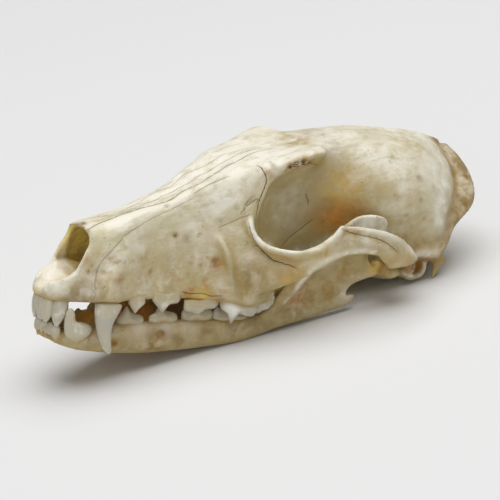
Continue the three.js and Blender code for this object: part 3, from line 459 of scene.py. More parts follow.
def bar(stations, rings, points, toward=(0, 0, 1)):
    """Rings of a bent bar of oval section, its height as near to the given direction as it can be."""
    path = run([s[:3] for s in stations], rings)
    high, thick, *lean = run([s[3:] for s in stations], rings).T
    along = np.gradient(path, axis=0)
    along /= np.linalg.norm(along, axis=1, keepdims=True)
    across = np.cross(along, toward)
    across /= np.linalg.norm(across, axis=1, keepdims=True)
    upright = np.cross(across, along)
    if lean:
        cos, sin = (f(np.radians(lean[0]))[:, None] for f in (np.cos, np.sin))
        across, upright = cos * across + sin * upright, cos * upright - sin * across
    turn = np.linspace(0, 2 * math.pi, points, endpoint=False)
    wide = np.cos(turn)[None, :, None] * (thick / 2)[:, None, None] * across[:, None, :]
    tall = np.sin(turn)[None, :, None] * (high / 2)[:, None, None] * upright[:, None, :]
    return path[:, None, :] + wide + tall


def both(bm, *bars):
    """Adds bars on both sides of the skull."""
    for settings in bars:
        for rings in both_sides(bar(*settings)):
            skin(bm, rings)


def mesh_of(bm, name):
    """Turns a bmesh into an object, with its faces outwards."""
    bmesh.ops.recalc_face_normals(bm, faces=bm.faces)
    mesh = bpy.data.meshes.new(name)
    bm.to_mesh(mesh)
    bm.free()
    made = bpy.data.objects.new(name, mesh)
    bpy.context.scene.collection.objects.link(made)
    return made


def finished(piece, *modifiers):
    """Applies modifiers, given as a type and its settings, to a piece."""
    for kind, settings in modifiers:
        modifier = piece.modifiers.new(kind.lower(), kind)
        for key, value in settings.items():
            setattr(modifier, key, value)
    ready = piece.evaluated_get(bpy.context.evaluated_depsgraph_get())
    mesh = bpy.data.meshes.new_from_object(ready)
    piece.modifiers.clear()
    old = piece.data
    piece.data = mesh
    bpy.data.meshes.remove(old)
    return piece


def fused(piece, grain):
    """Melts the overlapping shells of a piece into one skin."""
    return finished(piece, ("REMESH", dict(mode="VOXEL", voxel_size=grain, use_smooth_shade=True)))


def carved(piece, cutter):
    """Cuts a piece by another, which is then thrown away."""
    finished(piece, ("BOOLEAN", dict(operation="DIFFERENCE", solver="MANIFOLD", object=cutter)))
    bpy.data.objects.remove(cutter)


def reopened(piece):
    """Takes a piece back to a bmesh, for more shells to be added."""
    bm = bmesh.new()
    bm.from_mesh(piece.data)
    bpy.data.objects.remove(piece)
    return bm


def numbers(items, name, width, kind=np.float32):
    """One row of numbers for each item of a mesh."""
    found = np.empty(len(items) * width, kind)
    items.foreach_get(name, found)
    return found.reshape(-1, width)


def cranium_shell(rings=190, per_point=9):
    """Rings of the cranium's outer surface, from its cross-sections."""
    tracks = []
    for column in range(1, 8):
        places = [(s[0], 0, s[column]) if column in (1, 7) else (s[0], -s[column][0], s[column][1])
                  for s in CRANIUM]
        tracks.append(run(places, rings))
    half = np.stack(tracks, axis=1)
    other = both_sides(half[:, -2:0:-1])[1]
    return closed_runs(np.concatenate([half, other], axis=1), per_point)


def heights_at(points, at):
    """Heights, at places along, of the smooth line through points."""
    x, high = run(points, 240).T
    return np.interp(at, x, high)


def pointed_rings(tooth, sides):
    """Rings of a tooth of one point in its own frame, root below and crown above."""
    turn = np.linspace(0, 2 * math.pi, sides, endpoint=False)
    low, front, rear, wide = tooth["edges"][0]
    middle, half = (front + rear) / 2, (rear - front) / 2
    stations = [(low - share * tooth["root"], middle - size * half, middle + size * half, size * wide)
                for share, size in ROOT_STEPS]
    stations += list(run(tooth["edges"], 46))
    high, front, rear, wide = np.array(stations).T[:, :, None]
    along = (front + rear) / 2 + np.cos(turn) * np.maximum(rear - front, 0.02) / 2
    return np.stack([along, np.sin(turn) * np.maximum(wide, 0.01), high + 0 * along], axis=2)


def cheek_rings(tooth, stations, outwards):
    """Rings of a cheek tooth from front to back, each going up its outer wall, over its edges and down."""
    ends = tooth["crest"][0][0], tooth["crest"][-1][0]
    share = np.sin(np.linspace(-math.pi / 2, math.pi / 2, stations))
    along = (ends[0] + ends[1]) / 2 + share * (ends[1] - ends[0]) / 2
    top, neck = heights_at(tooth["crest"], along), heights_at(tooth["neck"], along)
    high = np.maximum(top - neck, 0.1)
    wide = tooth["wide"] / 2 * np.clip(1 - np.abs(share) ** 2.8, 0.012, 1) ** 0.5
    spread, inner = tooth.get("spread", 0.1), tooth.get("inner", 0.96)
    root = tooth["root"]
    outside = [(0.6, neck - root), (0.8, neck - 0.5 * root), (0.9, neck - 0.25), (0.97, neck + 0.02 * high),
               (1.04, neck + 0.22 * high), (np.maximum(0.86, spread * 1.06), neck + 0.5 * high)]
    over = [(np.maximum(0.5, spread * 1.05), neck + 0.79 * high), (spread, neck + 0.985 * high),
            (0.6 * spread, neck + high)]
    dip = 1 - 0.5 * max(spread - 0.2, 0)
    middle = [(0, neck + (1 + inner) / 2 * dip * high)]
    back = [(-y, neck + (z - neck) * inner) for y, z in reversed(over)]
    back += [(-y, z) for y, z in reversed(outside)]
    rows = np.array([[along, outwards * y * wide, z] for y, z in outside + over + middle + back])
    return closed_runs(rows.transpose(2, 0, 1), 2)


def stand(tooth, side, upper):
    """Where a tooth stands in the drawing. Upper crowns point down and lower crowns up."""
    tip, out = (math.radians(tooth.get(key, 0)) for key in ("tip", "out"))
    place = Matrix.Translation(tooth["at"]) @ Matrix.Rotation(math.radians(-tooth["turn"]), 4, "Z")
    place = place @ Matrix.Rotation(-out if upper else out, 4, "X")
    place = place @ Matrix.Rotation(tip if upper else -tip, 4, "Y")
    if upper:
        place = place @ Matrix.Rotation(math.pi, 4, "X")
    return Matrix.Diagonal((1, SIDES[side], 1, 1)) @ place


class Clay:
    """A finished skin held as arrays, for the moves of a sculptor and for marks kept at its points."""

    def __init__(self, piece):
        self.mesh = piece.data
        self.count = len(self.mesh.vertices)
        self.place = numbers(self.mesh.vertices, "co", 3).astype(float)
        self.ends = numbers(self.mesh.edges, "vertices", 2, np.int32)
        self.links = np.maximum(np.bincount(self.ends.ravel(), minlength=self.count), 1)

    def update(self):
        self.mesh.vertices.foreach_set("co", self.place.astype(np.float32).ravel())
        self.mesh.update()

    def normals(self):
        self.update()
        return numbers(self.mesh.vertex_normals, "vector", 3).astype(float)

    def blurred(self, values, rounds=1):
        """Values at the points, each the mean of its neighbours, some times over."""
        flat = values.reshape(self.count, -1)
        a, b = self.ends.T
        for _ in range(rounds):
            total = np.stack([np.bincount(a, flat[b, k], self.count) + np.bincount(b, flat[a, k], self.count)
                              for k in range(flat.shape[1])], axis=1)
            flat = total / self.links[:, None]
        return flat.reshape(values.shape)

    def relax(self, rounds):
        """Evens the skin out without shrinking it."""
        for _ in range(rounds):
            for step in (RELAX_IN, -RELAX_OUT):
                self.place += step * (self.blurred(self.place) - self.place)

    def push(self, amount):
        self.place += self.normals() * np.asarray(amount)[:, None]

    def uneven(self):
        """Gives the skin the faint swells of grown bone."""
        self.push([sum(high * rumple.noise(Vector(p) / wave) for wave, high in SWELLS) for p in self.place])

    def press(self, tree, spots):
        """Presses hollows in at pixels of the photograph, or raises them where the depth is below zero."""
        amount = np.zeros(self.count)
        for u, v, radius, depth in spots:
            for at in on_skin(tree, [(u, v)]):
                amount -= depth * np.exp(-((self.off_spot(at) / radius) ** 3))
        self.push(amount)

    def skin_tree(self):
        self.update()
        bm = bmesh.new()
        bm.from_mesh(self.mesh)
        tree = BVHTree.FromBMesh(bm)
        bm.free()
        return tree

    def off_spot(self, at, reach=1):
        """Distance of each point from a place, measured in reaches."""
        return np.linalg.norm((self.place - at) / reach, axis=1)

    def off_line(self, points):
        """How far each point is from a line through places, on which side and how far along it."""
        best = np.full(self.count, 1e9)
        sign = np.ones(self.count)
        along = np.zeros(self.count)
        normals = self.normals()
        low, high = points.min(axis=0) - LINE_MARGIN, points.max(axis=0) + LINE_MARGIN
        near = np.where(np.all((self.place > low) & (self.place < high), axis=1))[0]
        place, normal = self.place[near], normals[near]
        lengths = np.concatenate([[0], np.cumsum(np.linalg.norm(np.diff(points, axis=0), axis=1))])
        for k, (a, b) in enumerate(zip(points, points[1:])):
            step = b - a
            length = max(np.linalg.norm(step), 1e-9)
            t = np.clip((place - a) @ step / length**2, 0, 1)
            gap = place - (a + t[:, None] * step)
            away = np.linalg.norm(gap, axis=1)
            closer = away < best[near]
            where = near[closer]
            best[where] = away[closer]
            facing = np.einsum("ij,ij->i", np.cross(normal[closer], step), gap[closer])
            sign[where] = np.where(facing < 0, -1, 1)
            along[where] = lengths[k] + t[closer] * length
        return best, sign, along / max(lengths[-1], 1e-9)

    def stroke(self, points, width, height):
        """Raises a ridge along a line, or presses a groove where the height is below zero."""
        away, _, along = self.off_line(points)
        ends = np.clip(np.minimum(along, 1 - along) / TAPER, 0, 1)
        self.push(height * np.exp(-((away / width) ** 2)) * (0.25 + 0.75 * ends))

    def lines(self, drawn):
        """Marks seams: how far each point is from the nearest line, on which side, and how dark it is."""
        near, signed, dark = np.full(self.count, FAR_OFF), np.full(self.count, FAR_OFF), np.zeros(self.count)
        for points, darkness, _ in drawn:
            away, sign, along = self.off_line(points)
            closer = away < near
            near[closer] = away[closer]
            signed[closer] = (away * sign)[closer]
            fade = np.clip(np.minimum(along, 1 - along) / SEAM_FADE, 0, 1)
            dark[closer] = (darkness * (0.3 + 0.7 * fade))[closer]
        self.mark("seam", signed)
        self.mark("seam_near", near)
        self.mark("seam_dark", dark)

    def mark(self, name, values):
        """Keeps one number a point, for the material to read."""
        layer = self.mesh.attributes.get(name) or self.mesh.attributes.new(name, "FLOAT", "POINT")
        layer.data.foreach_set("value", np.asarray(values, np.float32))


def photo_ray(u, v):
    """The line of sight through a pixel of the photograph, in the drawing."""
    az, el = CAMERA_AZIMUTH, CAMERA_ELEVATION
    back = np.array([math.sin(az) * math.cos(el), -math.cos(az) * math.cos(el), math.sin(el)])
    right = np.array([math.cos(az), math.sin(az), 0])
    up = np.cross(back, right)
    right, up = (math.cos(CAMERA_ROLL) * right + math.sin(CAMERA_ROLL) * up,
                 math.cos(CAMERA_ROLL) * up - math.sin(CAMERA_ROLL) * right)
    start = np.array(CAMERA_AIM) + back * CAMERA_DISTANCE
    half = PHOTO_SIDE / 2
    look = -back + right * (u - half) / CAMERA_FOCUS + up * (half - v) / CAMERA_FOCUS
    return start, look / np.linalg.norm(look)


def facing_skin(tree, pixel):
    """The place of the skin seen at a pixel of the photograph, with its normal, if there is one."""
    start, look = photo_ray(*pixel)
    at, normal = tree.ray_cast(Vector(start), Vector(look))[:2]
    if at is None:
        return []
    return [(np.array(at), np.array(normal if normal.dot(Vector(look)) < 0 else -normal))]


def on_skin(tree, pixels, count=0):
    """The places of the skin seen at pixels of the photograph, drawn out to a smooth line where asked."""
    if count:
        pixels = run([(u, v, 0) for u, v in pixels], count)[:, :2]
    found = [tree.ray_cast(Vector(start), Vector(look))[0] for start, look in (photo_ray(*p) for p in pixels)]
    return np.array([p for p in found if p is not None])


class Wire:
    """An output of a shader node that can be written in sums."""

    def __init__(self, tree, socket):
        self.tree, self.socket = tree, socket

    def maths(self, operation, *values):
        return node(self.tree, "ShaderNodeMath", {"operation": operation}, dict(enumerate((self, *values))))

    def __add__(self, other):
        return self.maths("ADD", other)

    def __sub__(self, other):
        return self.maths("SUBTRACT", other)

    def __mul__(self, other):
        return self.maths("MULTIPLY", other)

    def __abs__(self):
        return self.maths("ABSOLUTE")

    def least(self, other):
        return self.maths("MINIMUM", other)

    def between(self, low, high, to_low=0.0, to_high=1.0):
        """Brings values from one range to another with soft ends."""
        return node(self.tree, "ShaderNodeMapRange", {"interpolation_type": "SMOOTHSTEP"},
                    {"Value": self, "From Min": low, "From Max": high, "To Min": to_low, "To Max": to_high})


def node(tree, kind, settings, values, output=0):
    """Adds a node, sets it, then fills its sockets with values or wires."""
    made = tree.nodes.new(kind)
    for key, value in settings.items():
        setattr(made, key, value)
    for key, value in values.items():
        if isinstance(value, Wire):
            tree.links.new(value.socket, made.inputs[key])
        else:
            made.inputs[key].default_value = value
    return Wire(tree, made.outputs[output])


def blend(tree, factor, first, second):
    """Mixes two colours through a Mix node."""
    first, second = (c if isinstance(c, Wire) else (*c[:3], 1) for c in (first, second))
    return node(tree, "ShaderNodeMix", {"data_type": "RGBA"}, {0: factor, 6: first, 7: second}, 2)


def coated(tree, colour, coats):
    """Lays colours over one another, each given with how strongly it covers."""
    for strength, tint in coats:
        colour = blend(tree, strength, colour, tint)
    return colour


def kept(tree, name):
    """A number kept at the points of the mesh."""
    return node(tree, "ShaderNodeAttribute", {"attribute_name": name}, {}, "Fac")


def noise(tree, scale, detail=3.0, stretch=None, rough=0.55, twist=0.0):
    """Noise in the frame's own space, its scale in waves a metre."""
    place = node(tree, "ShaderNodeTexCoord", {}, {}, "Object")
    if stretch:
        place = node(tree, "ShaderNodeMapping", {}, {"Vector": place, "Scale": stretch})
    values = {"Vector": place, "Scale": scale, "Detail": detail, "Roughness": rough, "Distortion": twist}
    return node(tree, "ShaderNodeTexNoise", {}, values, "Fac")


def surface(name):
    """A new material, with its tree and its shader."""
    made = bpy.data.materials.new(name)
    made.use_nodes = True
    tree = made.node_tree
    return made, tree, next(n for n in tree.nodes if n.type == "BSDF_PRINCIPLED")


def drive(tree, shader, colour, rough, height, strength, distance):
    """Joins a material's colour, roughness and relief to its shader."""
    bump = node(tree, "ShaderNodeBump", {}, {"Strength": strength, "Distance": distance, "Height": height})
    for socket, wire in (("Base Color", colour), ("Roughness", rough), ("Normal", bump)):
        tree.links.new(wire.socket, shader.inputs[socket])


def bone_material(colours):
    """Dry bone: cream where the sky reaches it and tan to amber where it doesn't, as painted light and shade,
    dark in seams and pores.
    """
    made, tree, shader = surface("dry_bone")
    shader.inputs["IOR"].default_value = 1.5
    shader.inputs["Specular IOR Level"].default_value = 0.4
    broad = noise(tree, 38, 4).between(0.36, 0.66)
    patch = noise(tree, 90, 4, twist=0.6).between(0.42, 0.62)
    fine = noise(tree, 420, 5, rough=0.65)
    grain = noise(tree, 1100, 3, stretch=(0.2, 1, 1))
    streaks = noise(tree, 330, 6, stretch=(0.3, 1, 1), rough=0.7)
    blot = noise(tree, 240, 5, twist=0.5, rough=0.6).between(0.36, 0.64) * 0.9 + 0.5
    mottle = noise(tree, 210, 5, rough=0.62).between(0.5, 0.68) * 0.42
    pores = node(tree, "ShaderNodeTexVoronoi", {"feature": "F1"},
                 {"Vector": node(tree, "ShaderNodeTexCoord", {}, {}, "Object"), "Scale": 640.0}, "Distance")
    pits = pores.between(0.2, 0.06) * noise(tree, 120, 3).between(0.5, 0.64)
    lit, shut, near, dark = (kept(tree, name) for name in ("lit", "shut", "seam_near", "seam_dark"))
    wobble = (noise(tree, 520, 3) - 0.5) * 0.34
    line = abs(kept(tree, "seam") + wobble).between(0.26, 0.07) * near.between(0.9, 0.55)
    halo = near.between(1.7, 0.2) * dark
    # Painted light and shade: lighter where the sky reaches, darker where other bone shuts the point in,
    # varied by the bone's own random tone
    painted_light_and_tone = lit - shut * 0.5 + (broad - 0.5) * 0.22 + (patch - 0.5) * 0.2 + (fine - 0.5) * 0.3
    worn = (kept(tree, "worn") + halo * 0.3) * blot + mottle
    # Amber: the marked stains, plus painted shade where other bone shuts the point in
    amber = (kept(tree, "amber") + shut.between(0.36, 0.7) * 0.55) * blot
    stains = [((kept(tree, name) * fine.between(0.3, 0.6, low, 1.0) * blot).least(1.0), tint)
              for name, (tint, low) in STAINS.items()]
    colour = coated(tree, blend(tree, painted_light_and_tone.between(0.15, 0.98), colours.bone_in_painted_shade, colours.bone), [
        (noise(tree, 60, 3).between(0.5, 0.72) * 0.3, OLIVE),
        (noise(tree, 75, 3, twist=0.4).between(0.54, 0.74) * 0.3, PINKISH),
        (streaks.between(0.47, 0.66) * 0.45, DARK_STREAK),
        (streaks.between(0.44, 0.30) * 0.3, PALE_STREAK),
        (worn.least(1.0), colours.bone_worn),
        (amber.least(0.95), colours.amber),
        *stains,
        # Amber in the hollows of the skin, partly stain and partly painted shade
        (kept(tree, "hollow").between(0.05, 0.4) * 0.4, colours.amber),
        (pits * 0.4, colours.seam),
        (line * dark * shut.between(0.5, 0.3), colours.seam),
    ])
    height = fine * 0.4 + grain * 0.35 + pits * -0.6 + line * -1.2 + noise(tree, 170, 5) * 1.3
    height = height + blot * 0.25 + streaks * 0.7
    drive(tree, shader, colour, broad * 0.12 + fine * 0.12 + 0.4, height, 0.75, 0.0003)
    return made


def enamel_material(colours):
    """Tooth: pale glossy enamel over a darker root."""
    made, tree, shader = surface("tooth_enamel")
    shader.inputs["Specular IOR Level"].default_value = 0.55
    crown = kept(tree, "crown")
    fine = noise(tree, 500, 4)
    streak = noise(tree, 900, 3, stretch=(1, 1, 0.16))
    colour = coated(tree, colours.enamel, [
        (streak.between(0.4, 0.7) * 0.4, ENAMEL_STREAK),
        (noise(tree, 190, 4, twist=0.5).between(0.44, 0.66) * 0.5, ENAMEL_GREY),
        (noise(tree, 260, 3).between(0.56, 0.7) * 0.5, ENAMEL_PALE),
        (kept(tree, "bright") * 0.8, ENAMEL_BRIGHT),
        (crown.between(1.2, -0.4) * 0.5, GUM_STAIN),
        # Darker and more orange towards the inside of the mouth
        (kept(tree, "inner").between(0.3, 1.4) * 0.85, INNER_SIDE_TINT),
        ((crown + (fine - 0.5) * 0.6).between(-1.7, -2.2), ROOT_COLOUR),
    ])
    rough = fine * 0.12 + 0.16 + crown.between(-1.5, -2.0) * 0.3
    drive(tree, shader, colour, rough, fine * 0.3 + streak * 0.4, 0.3, 0.0001)
    return made


def material_of(name, build):
    return bpy.data.materials.get(name) or build(bpy.context.scene.skull_colours)


def settle(piece, node_name, material):
    """Places a finished piece in the frame, in its box, gives it its material, hides its node's part and
    hangs it from the frame's root.
    """
    mesh = piece.data
    mesh.transform(TO_FRAME)
    place = np.clip(numbers(mesh.vertices, "co", 3), *np.array(FRAME_BOX, np.float32))
    mesh.vertices.foreach_set("co", place.ravel())
    mesh.update()
    mesh.shade_smooth()
    mesh.materials.clear()
    mesh.materials.append(material)
    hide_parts(node_name)
    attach(piece, "root")


# Seams seen in the photograph, as pixels, each with how dark it is and how deep; they are on the far side too
SEAMS = [
    ([(89, 229), (98, 223.5), (106, 220.4), (122, 213.9), (140, 208), (168.6, 200), (182.9, 190.8),
      (200.2, 182.7), (210.4, 176), (227.8, 165.3), (242, 158.7), (250, 155), (260, 151.5)], 0.8, 0.2),
    ([(190, 200), (171, 209.5), (154.7, 217), (140, 226), (127.6, 233.8), (120, 242), (112.4, 250.7),
      (101, 263), (97, 272), (95, 286)], 0.22, 0.12),
    ([(228, 176.5), (211, 183.7), (196, 192)], 0.26, 0.08),
    ([(248.7, 224), (250, 231), (253, 239), (259, 247), (266, 254), (272.5, 259.5), (281.2, 262.6),
      (290.8, 265.5), (296, 268)], 0.85, 0.2),
    ([(251.6, 214.3), (240, 218.5), (230, 223), (220, 227.2)], 0.26, 0.1),
    ([(343, 230), (351.5, 233), (363, 235.4), (374.5, 238), (386, 242.6), (396.5, 251)], 0.55, 0.3),
]
FAR_SHARE = 0.22  # how dark they are on the far side
# The seam along the middle of the nose and forehead: where it runs, and how dark and deep it is
MIDDLE_SEAM_RUN, MIDDLE_SEAM = (11.2, 74), (0.22, 0.14)
# Ridges and grooves of the near side and its mirror: pixels, width in millimetres and height
STROKES = [
    ([(326, 208), (345, 212), (363, 211), (390, 211.5), (413, 213.5), (432, 210), (446, 196)], 1.8, 0.12),
    ([(304, 279), (309, 273.6), (315.7, 267.8), (330, 259.2), (344.4, 254), (360.7, 251.5), (375, 252)],
      0.7, 0.45),
    ([(155, 251), (163, 248.8), (172, 248.4), (180, 250.4), (184, 254)], 0.6, 0.16),
    ([(158, 255.6), (166, 253.2), (175, 253.4), (182, 257)], 0.6, 0.12),
    ([(210, 249), (207, 262), (204, 274), (203, 286)], 2.4, -0.35),
    ([(140, 222), (160, 214), (185, 203), (205, 195)], 2.6, -0.25),
    ([(283, 172), (292, 168), (302, 165.5), (312, 164), (320, 163)], 1.1, 0.45),
    ([(246, 262), (252, 275), (255, 290)], 3, -0.35),
    ([(235, 160), (262, 150), (290, 149), (315, 151)], 3.2, 0.3),
    ([(393, 256), (403, 258), (414, 256)], 1.2, 0.4),
    ([(348, 236.5), (360, 239.5), (375, 243), (388, 248)], 1.2, 0.3),
]
JAW_STROKES = [
    ([(293.7, 293.7), (302.3, 281.2), (315.7, 267.8), (330, 259.2), (344.4, 254.4), (360.7, 252.5)], 0.9,
      0.9),
    ([(130, 330), (160, 327.5), (190, 325), (215, 322), (240, 318)], 1.6, 0.22),
    ([(120, 340), (160, 337.5), (200, 333), (240, 326), (270, 316)], 1.8, -0.2),
    ([(345, 292), (335, 297), (318, 302), (300, 305)], 1.4, -0.3),
]
# Edges that wear to a pale line, partly a painted highlight: pixels, width in millimetres and strength
EDGES = [
    ([(310, 272.6), (315.7, 267.8), (330, 259.2), (344.4, 254), (360.7, 251.5), (375, 252)], 0.8, 0.6),
    ([(249.7, 221.4), (253.5, 232), (260.2, 239.6), (269.8, 245.4), (281.2, 249.2), (294.6, 251),
      (308, 249.2), (320.5, 243.4), (330, 237.7), (339.6, 231)], 1.2, 0.75),
    ([(419, 254.6), (427, 253.4), (436, 253.8)], 1.2, 0.8),
    ([(404, 273.6), (413.7, 275.8), (420.7, 273.3), (424.5, 268.8), (424, 263)], 0.8, 0.7),
    ([(348, 227), (362, 229), (380, 232), (396, 238.5), (408, 247.5), (417, 257)], 0.7, 0.5),
]
JAW_EDGES = [
    ([(286, 302), (293.7, 293.7), (298, 287), (302.3, 281.2), (309, 274)], 0.8, 0.6),
    ([(355, 226), (362, 219.4), (375, 217), (383, 218)], 1.2, 0.7),
]
# Cracks of the near side alone, written as the seams are
CRACKS = [
    ([(258, 166), (262, 168.5), (266, 175.5), (266.8, 181.2), (264.5, 188.9), (261.5, 195.6), (258.6, 205),
      (257, 213.5)], 0.95, 0.25),
    ([(257, 199), (252, 202.5), (247, 206.5), (242, 212)], 0.6, 0.14),
    ([(253, 196.5), (248.5, 200.5), (244.5, 206)], 0.35, 0.08),
    ([(287, 168.6), (292, 165.2), (297, 162.8), (303, 161.2), (309, 161.6), (314, 160.8)], 1, 0.5),
    ([(285, 171), (291, 167.4), (297, 165.2), (304, 162.8), (310, 163.2)], 1, 0.4),
    ([(296, 167), (302, 164.6), (309, 164), (314, 165.4), (318.5, 166.4)], 0.9, 0.4),
    ([(307, 195), (308.2, 199.5), (308.4, 204)], 0.7, 0.2),
    ([(283, 245), (292, 236), (302, 228.5), (312, 220)], 0.3, 0.1),
    ([(288, 143.2), (292, 142.6), (296, 142.8)], 0.8, 0.12),
    ([(183, 292), (192, 294), (202, 293.6), (212, 296.4), (222, 296)], 0.6, 0.16),
]
# Stains, and painted light and shade in the gold, orange, white and dark ones: name, colour, and how much of
# it is left where the bone's fine grain is pale
STAINS = {
    "brown": ((0.28, 0.18, 0.052), 0.7), "gold": ((1.0, 0.76, 0.20), 0.9), "rust": ((0.42, 0.16, 0.02), 0.6),
    "grey": ((0.31, 0.24, 0.15), 0.4), "white": ((0.93, 0.90, 0.78), 0.8),
    "orange": ((0.98, 0.47, 0.10), 0.9), "dark": ((0.11, 0.05, 0.02), 0.8),
}
SPOTS_OF_ONE_SIDE = 4.0  # rust and grey stains smaller than this stay on the near side
# Stains and wear seen in the photograph, by what they are, some of them painted light and shade: pixel,
# radius in millimetres and strength
DABS = {
    # dark: mostly painted shadow, in the ear's opening, the hole under the eye and under the overhanging edge
    # of the nose bones; the row along the brow is dirt in its cracks
    "dark": [(414, 267, 3, 0.85), (409, 270, 2.4, 0.8), (421, 260, 2, 0.45), (217, 262, 1.3, 0.7),
        (221, 300, 1, 0.5), (78, 225, 1.4, 0.4), (84, 223.4, 1.2, 0.5), (88, 231, 0.8, 0.5),
        (290, 167.4, 0.8, 0.8), (296, 165, 0.9, 0.9), (303, 162.4, 0.9, 0.9), (309, 163, 0.9, 0.8),
        (315, 166, 0.7, 0.7)],
    "orange": [(337, 218, 5, 0.25)],
    # amber: stains, with painted glow and shade in the eye socket and under the brow
    "amber": [(334, 216, 7, 0.8), (338, 192, 9, 0.75), (345, 204, 6, 0.7), (352, 200, 6, 0.4),
        (338, 207, 6, 0.8), (304, 160, 3, 0.6), (314, 162, 2.6, 0.7), (292, 166, 2.2, 0.6),
        (318, 152, 2.4, 0.3), (328, 253, 2.6, 0.7), (320, 258, 2.4, 0.5), (296, 272, 3.4, 0.6),
        (288, 281, 2.6, 0.6), (258, 308, 1.6, 0.8), (246, 290, 2.2, 0.4), (190, 297, 2.6, 0.8),
        (202, 298, 4, 0.7), (210, 299, 2, 0.5), (221, 262, 1.6, 0.8), (438, 244, 4, 0.5),
        (420, 248, 4, 0.65), (430, 249, 3.4, 0.4), (405, 236, 4, 0.3), (392, 262, 2.6, 0.5),
        (380, 247, 2.4, 0.3), (356, 232, 1.8, 0.6), (408, 256, 3, 0.4), (350, 228, 1.4, 0.6),
        (68, 272, 2.6, 0.6), (60, 302, 1.2, 0.8), (70, 303, 1.4, 0.7), (82, 303, 1.8, 0.7)],
    # brown: stains, and painted shade along the hollow before the rear crest
    "brown": [(250, 281, 7, 0.65), (262, 290, 6, 0.55), (240, 292, 4, 0.3), (145, 275, 6, 0.3),
        (175, 272, 6, 0.3), (200, 286, 6, 0.3), (72, 293, 3.4, 0.6), (84, 294, 4.2, 0.8), (76, 299, 3, 0.6),
        (96, 296, 4, 0.5), (360, 244, 4, 0.25), (375, 247, 4, 0.25), (345, 242, 4, 0.2), (300, 136, 6, 0.4),
        (322, 134.5, 6, 0.35), (405, 240, 6, 0.35), (420, 244, 5, 0.4), (242, 283, 3, 0.4),
        (245, 276, 4, 0.35), (256, 282, 4, 0.3), (213, 270, 2.6, 0.4), (175, 280, 1.4, 0.4),
        (88, 271, 0.8, 0.8), (98, 282, 1.8, 0.5), (90, 262, 4, 0.3), (86, 280, 4, 0.3),
        (175.7, 235.7, 0.9, 1), (88, 242, 1.8, 0.4), (150, 290, 5, 0.25), (170, 292, 4, 0.3),
        (120, 296, 4, 0.25), (400, 245, 3.4, 0.35), (437, 141, 3.4, 0.5), (446, 150, 3.8, 0.55),
        (455, 161, 4, 0.6), (462, 172, 4, 0.6), (465, 184, 4, 0.6), (464, 196, 4, 0.65),
        (460, 208, 4, 0.65), (455, 218, 4, 0.6), (450, 230, 4, 0.6), (446, 242, 4, 0.6), (440, 245, 4, 0.8),
        (466, 178, 2.6, 0.9), (468, 192, 2.6, 0.9), (464, 205, 2.6, 0.9), (431, 262, 3.4, 0.9),
        (414, 278, 3, 0.5), (76, 226, 1.2, 0.7), (82, 224, 1.2, 0.7), (72, 296, 3, 0.55),
        (84, 296, 4, 0.65), (62, 298, 2.4, 0.4), (92, 288, 4, 0.4)],
    "grey": [(66, 298, 3, 0.35), (338, 168, 3.4, 0.3), (312, 198, 4, 0.35), (318, 178, 4, 0.3),
        (80, 297, 4, 0.45), (90, 292, 2.6, 0.7), (84, 287, 2.2, 0.5), (95, 296, 2, 0.6),
        (97, 270, 1.2, 0.6), (103, 272, 1, 0.6), (118, 263, 0.9, 0.8), (114, 262, 0.7, 0.6),
        (166.8, 206.1, 0.7, 0.9)],
    # gold: painted glow inside the nose and the eye socket, where light shines through thin bone; the smaller
    # spots are stains
    "gold": [(335, 195, 7, 0.3), (286, 279, 1.6, 0.25), (200, 298, 2.6, 0.45), (78, 240, 9, 1),
        (72, 252, 6, 1), (82, 232, 8, 1), (74, 262, 2.6, 0.7), (36, 291, 1.4, 0.4)],
    "rust": [(337.7, 219.5, 4.4, 1), (330, 216, 4, 0.95), (345, 216, 4, 0.9), (322, 212, 3.4, 0.8),
        (353, 214, 3.6, 0.8), (360, 211, 3, 0.7), (320, 214, 2.4, 0.4), (352, 209, 2.2, 0.3),
        (255, 257, 3.4, 0.2), (270, 256, 4, 0.2), (284, 257, 3.6, 0.2), (284, 274, 2.2, 0.4),
        (186, 293, 1.4, 0.7), (204.3, 281, 0.8, 0.8), (205.5, 286, 0.9, 0.8), (203, 283.5, 0.7, 0.7),
        (217, 267, 1.8, 0.6), (218, 277, 1.3, 0.5), (223, 292, 1.3, 0.6), (219, 301, 1.4, 0.6),
        (190, 285, 1, 0.4), (414, 267, 3, 1), (410, 269, 3, 1), (420, 261, 3, 0.9), (426, 259, 2.6, 0.7)],
    # white: painted light on the far wall and lip of the nose, the rim of the braincase's back and the eye
    # socket's wall
    "white": [(300, 190, 8, 0.22), (285, 208, 6, 0.2), (444, 185, 3.6, 0.9), (442, 205, 3.6, 0.9),
        (436, 172, 6, 0.6), (440, 222, 4, 0.6), (427, 254, 1.8, 0.8), (434, 254, 1.6, 0.6), (57, 262, 5, 1),
        (60, 250, 3, 0.5), (57, 284.5, 1.7, 0.8), (50, 284, 1.5, 0.7), (64, 284.5, 1.5, 0.6)],
    "worn": [(280, 137, 5, 0.6), (400, 142, 8, 0.6), (420, 147, 6, 0.6), (375, 140, 5, 0.4),
        (440, 150, 4, 0.7), (392, 192, 8, 0.5), (410, 200, 8, 0.5), (400, 212, 8, 0.45), (380, 225, 6, 0.4),
        (415, 238, 7, 0.7), (425, 225, 7, 0.4), (262, 300, 3, 0.6), (100, 250, 3, 0.5), (150, 262, 7, 0.6),
        (190, 280, 8, 0.7), (165, 285, 7, 0.7), (130, 280, 7, 0.6), (210, 255, 6, 0.5), (110, 290, 6, 0.6),
        (78, 288, 4, 0.6), (92, 262, 4, 0.4), (244, 288, 6, 0.8), (262, 275, 6, 0.8), (225, 232, 6, 0.4),
        (235, 262, 5, 0.4), (300, 258, 7, 0.5), (275, 268, 6, 0.6), (345, 244, 6, 0.5), (300, 230, 9, 0.4),
        (375, 246, 5, 0.5), (398, 250, 4, 0.7), (432, 272, 2.4, 0.8)],
}
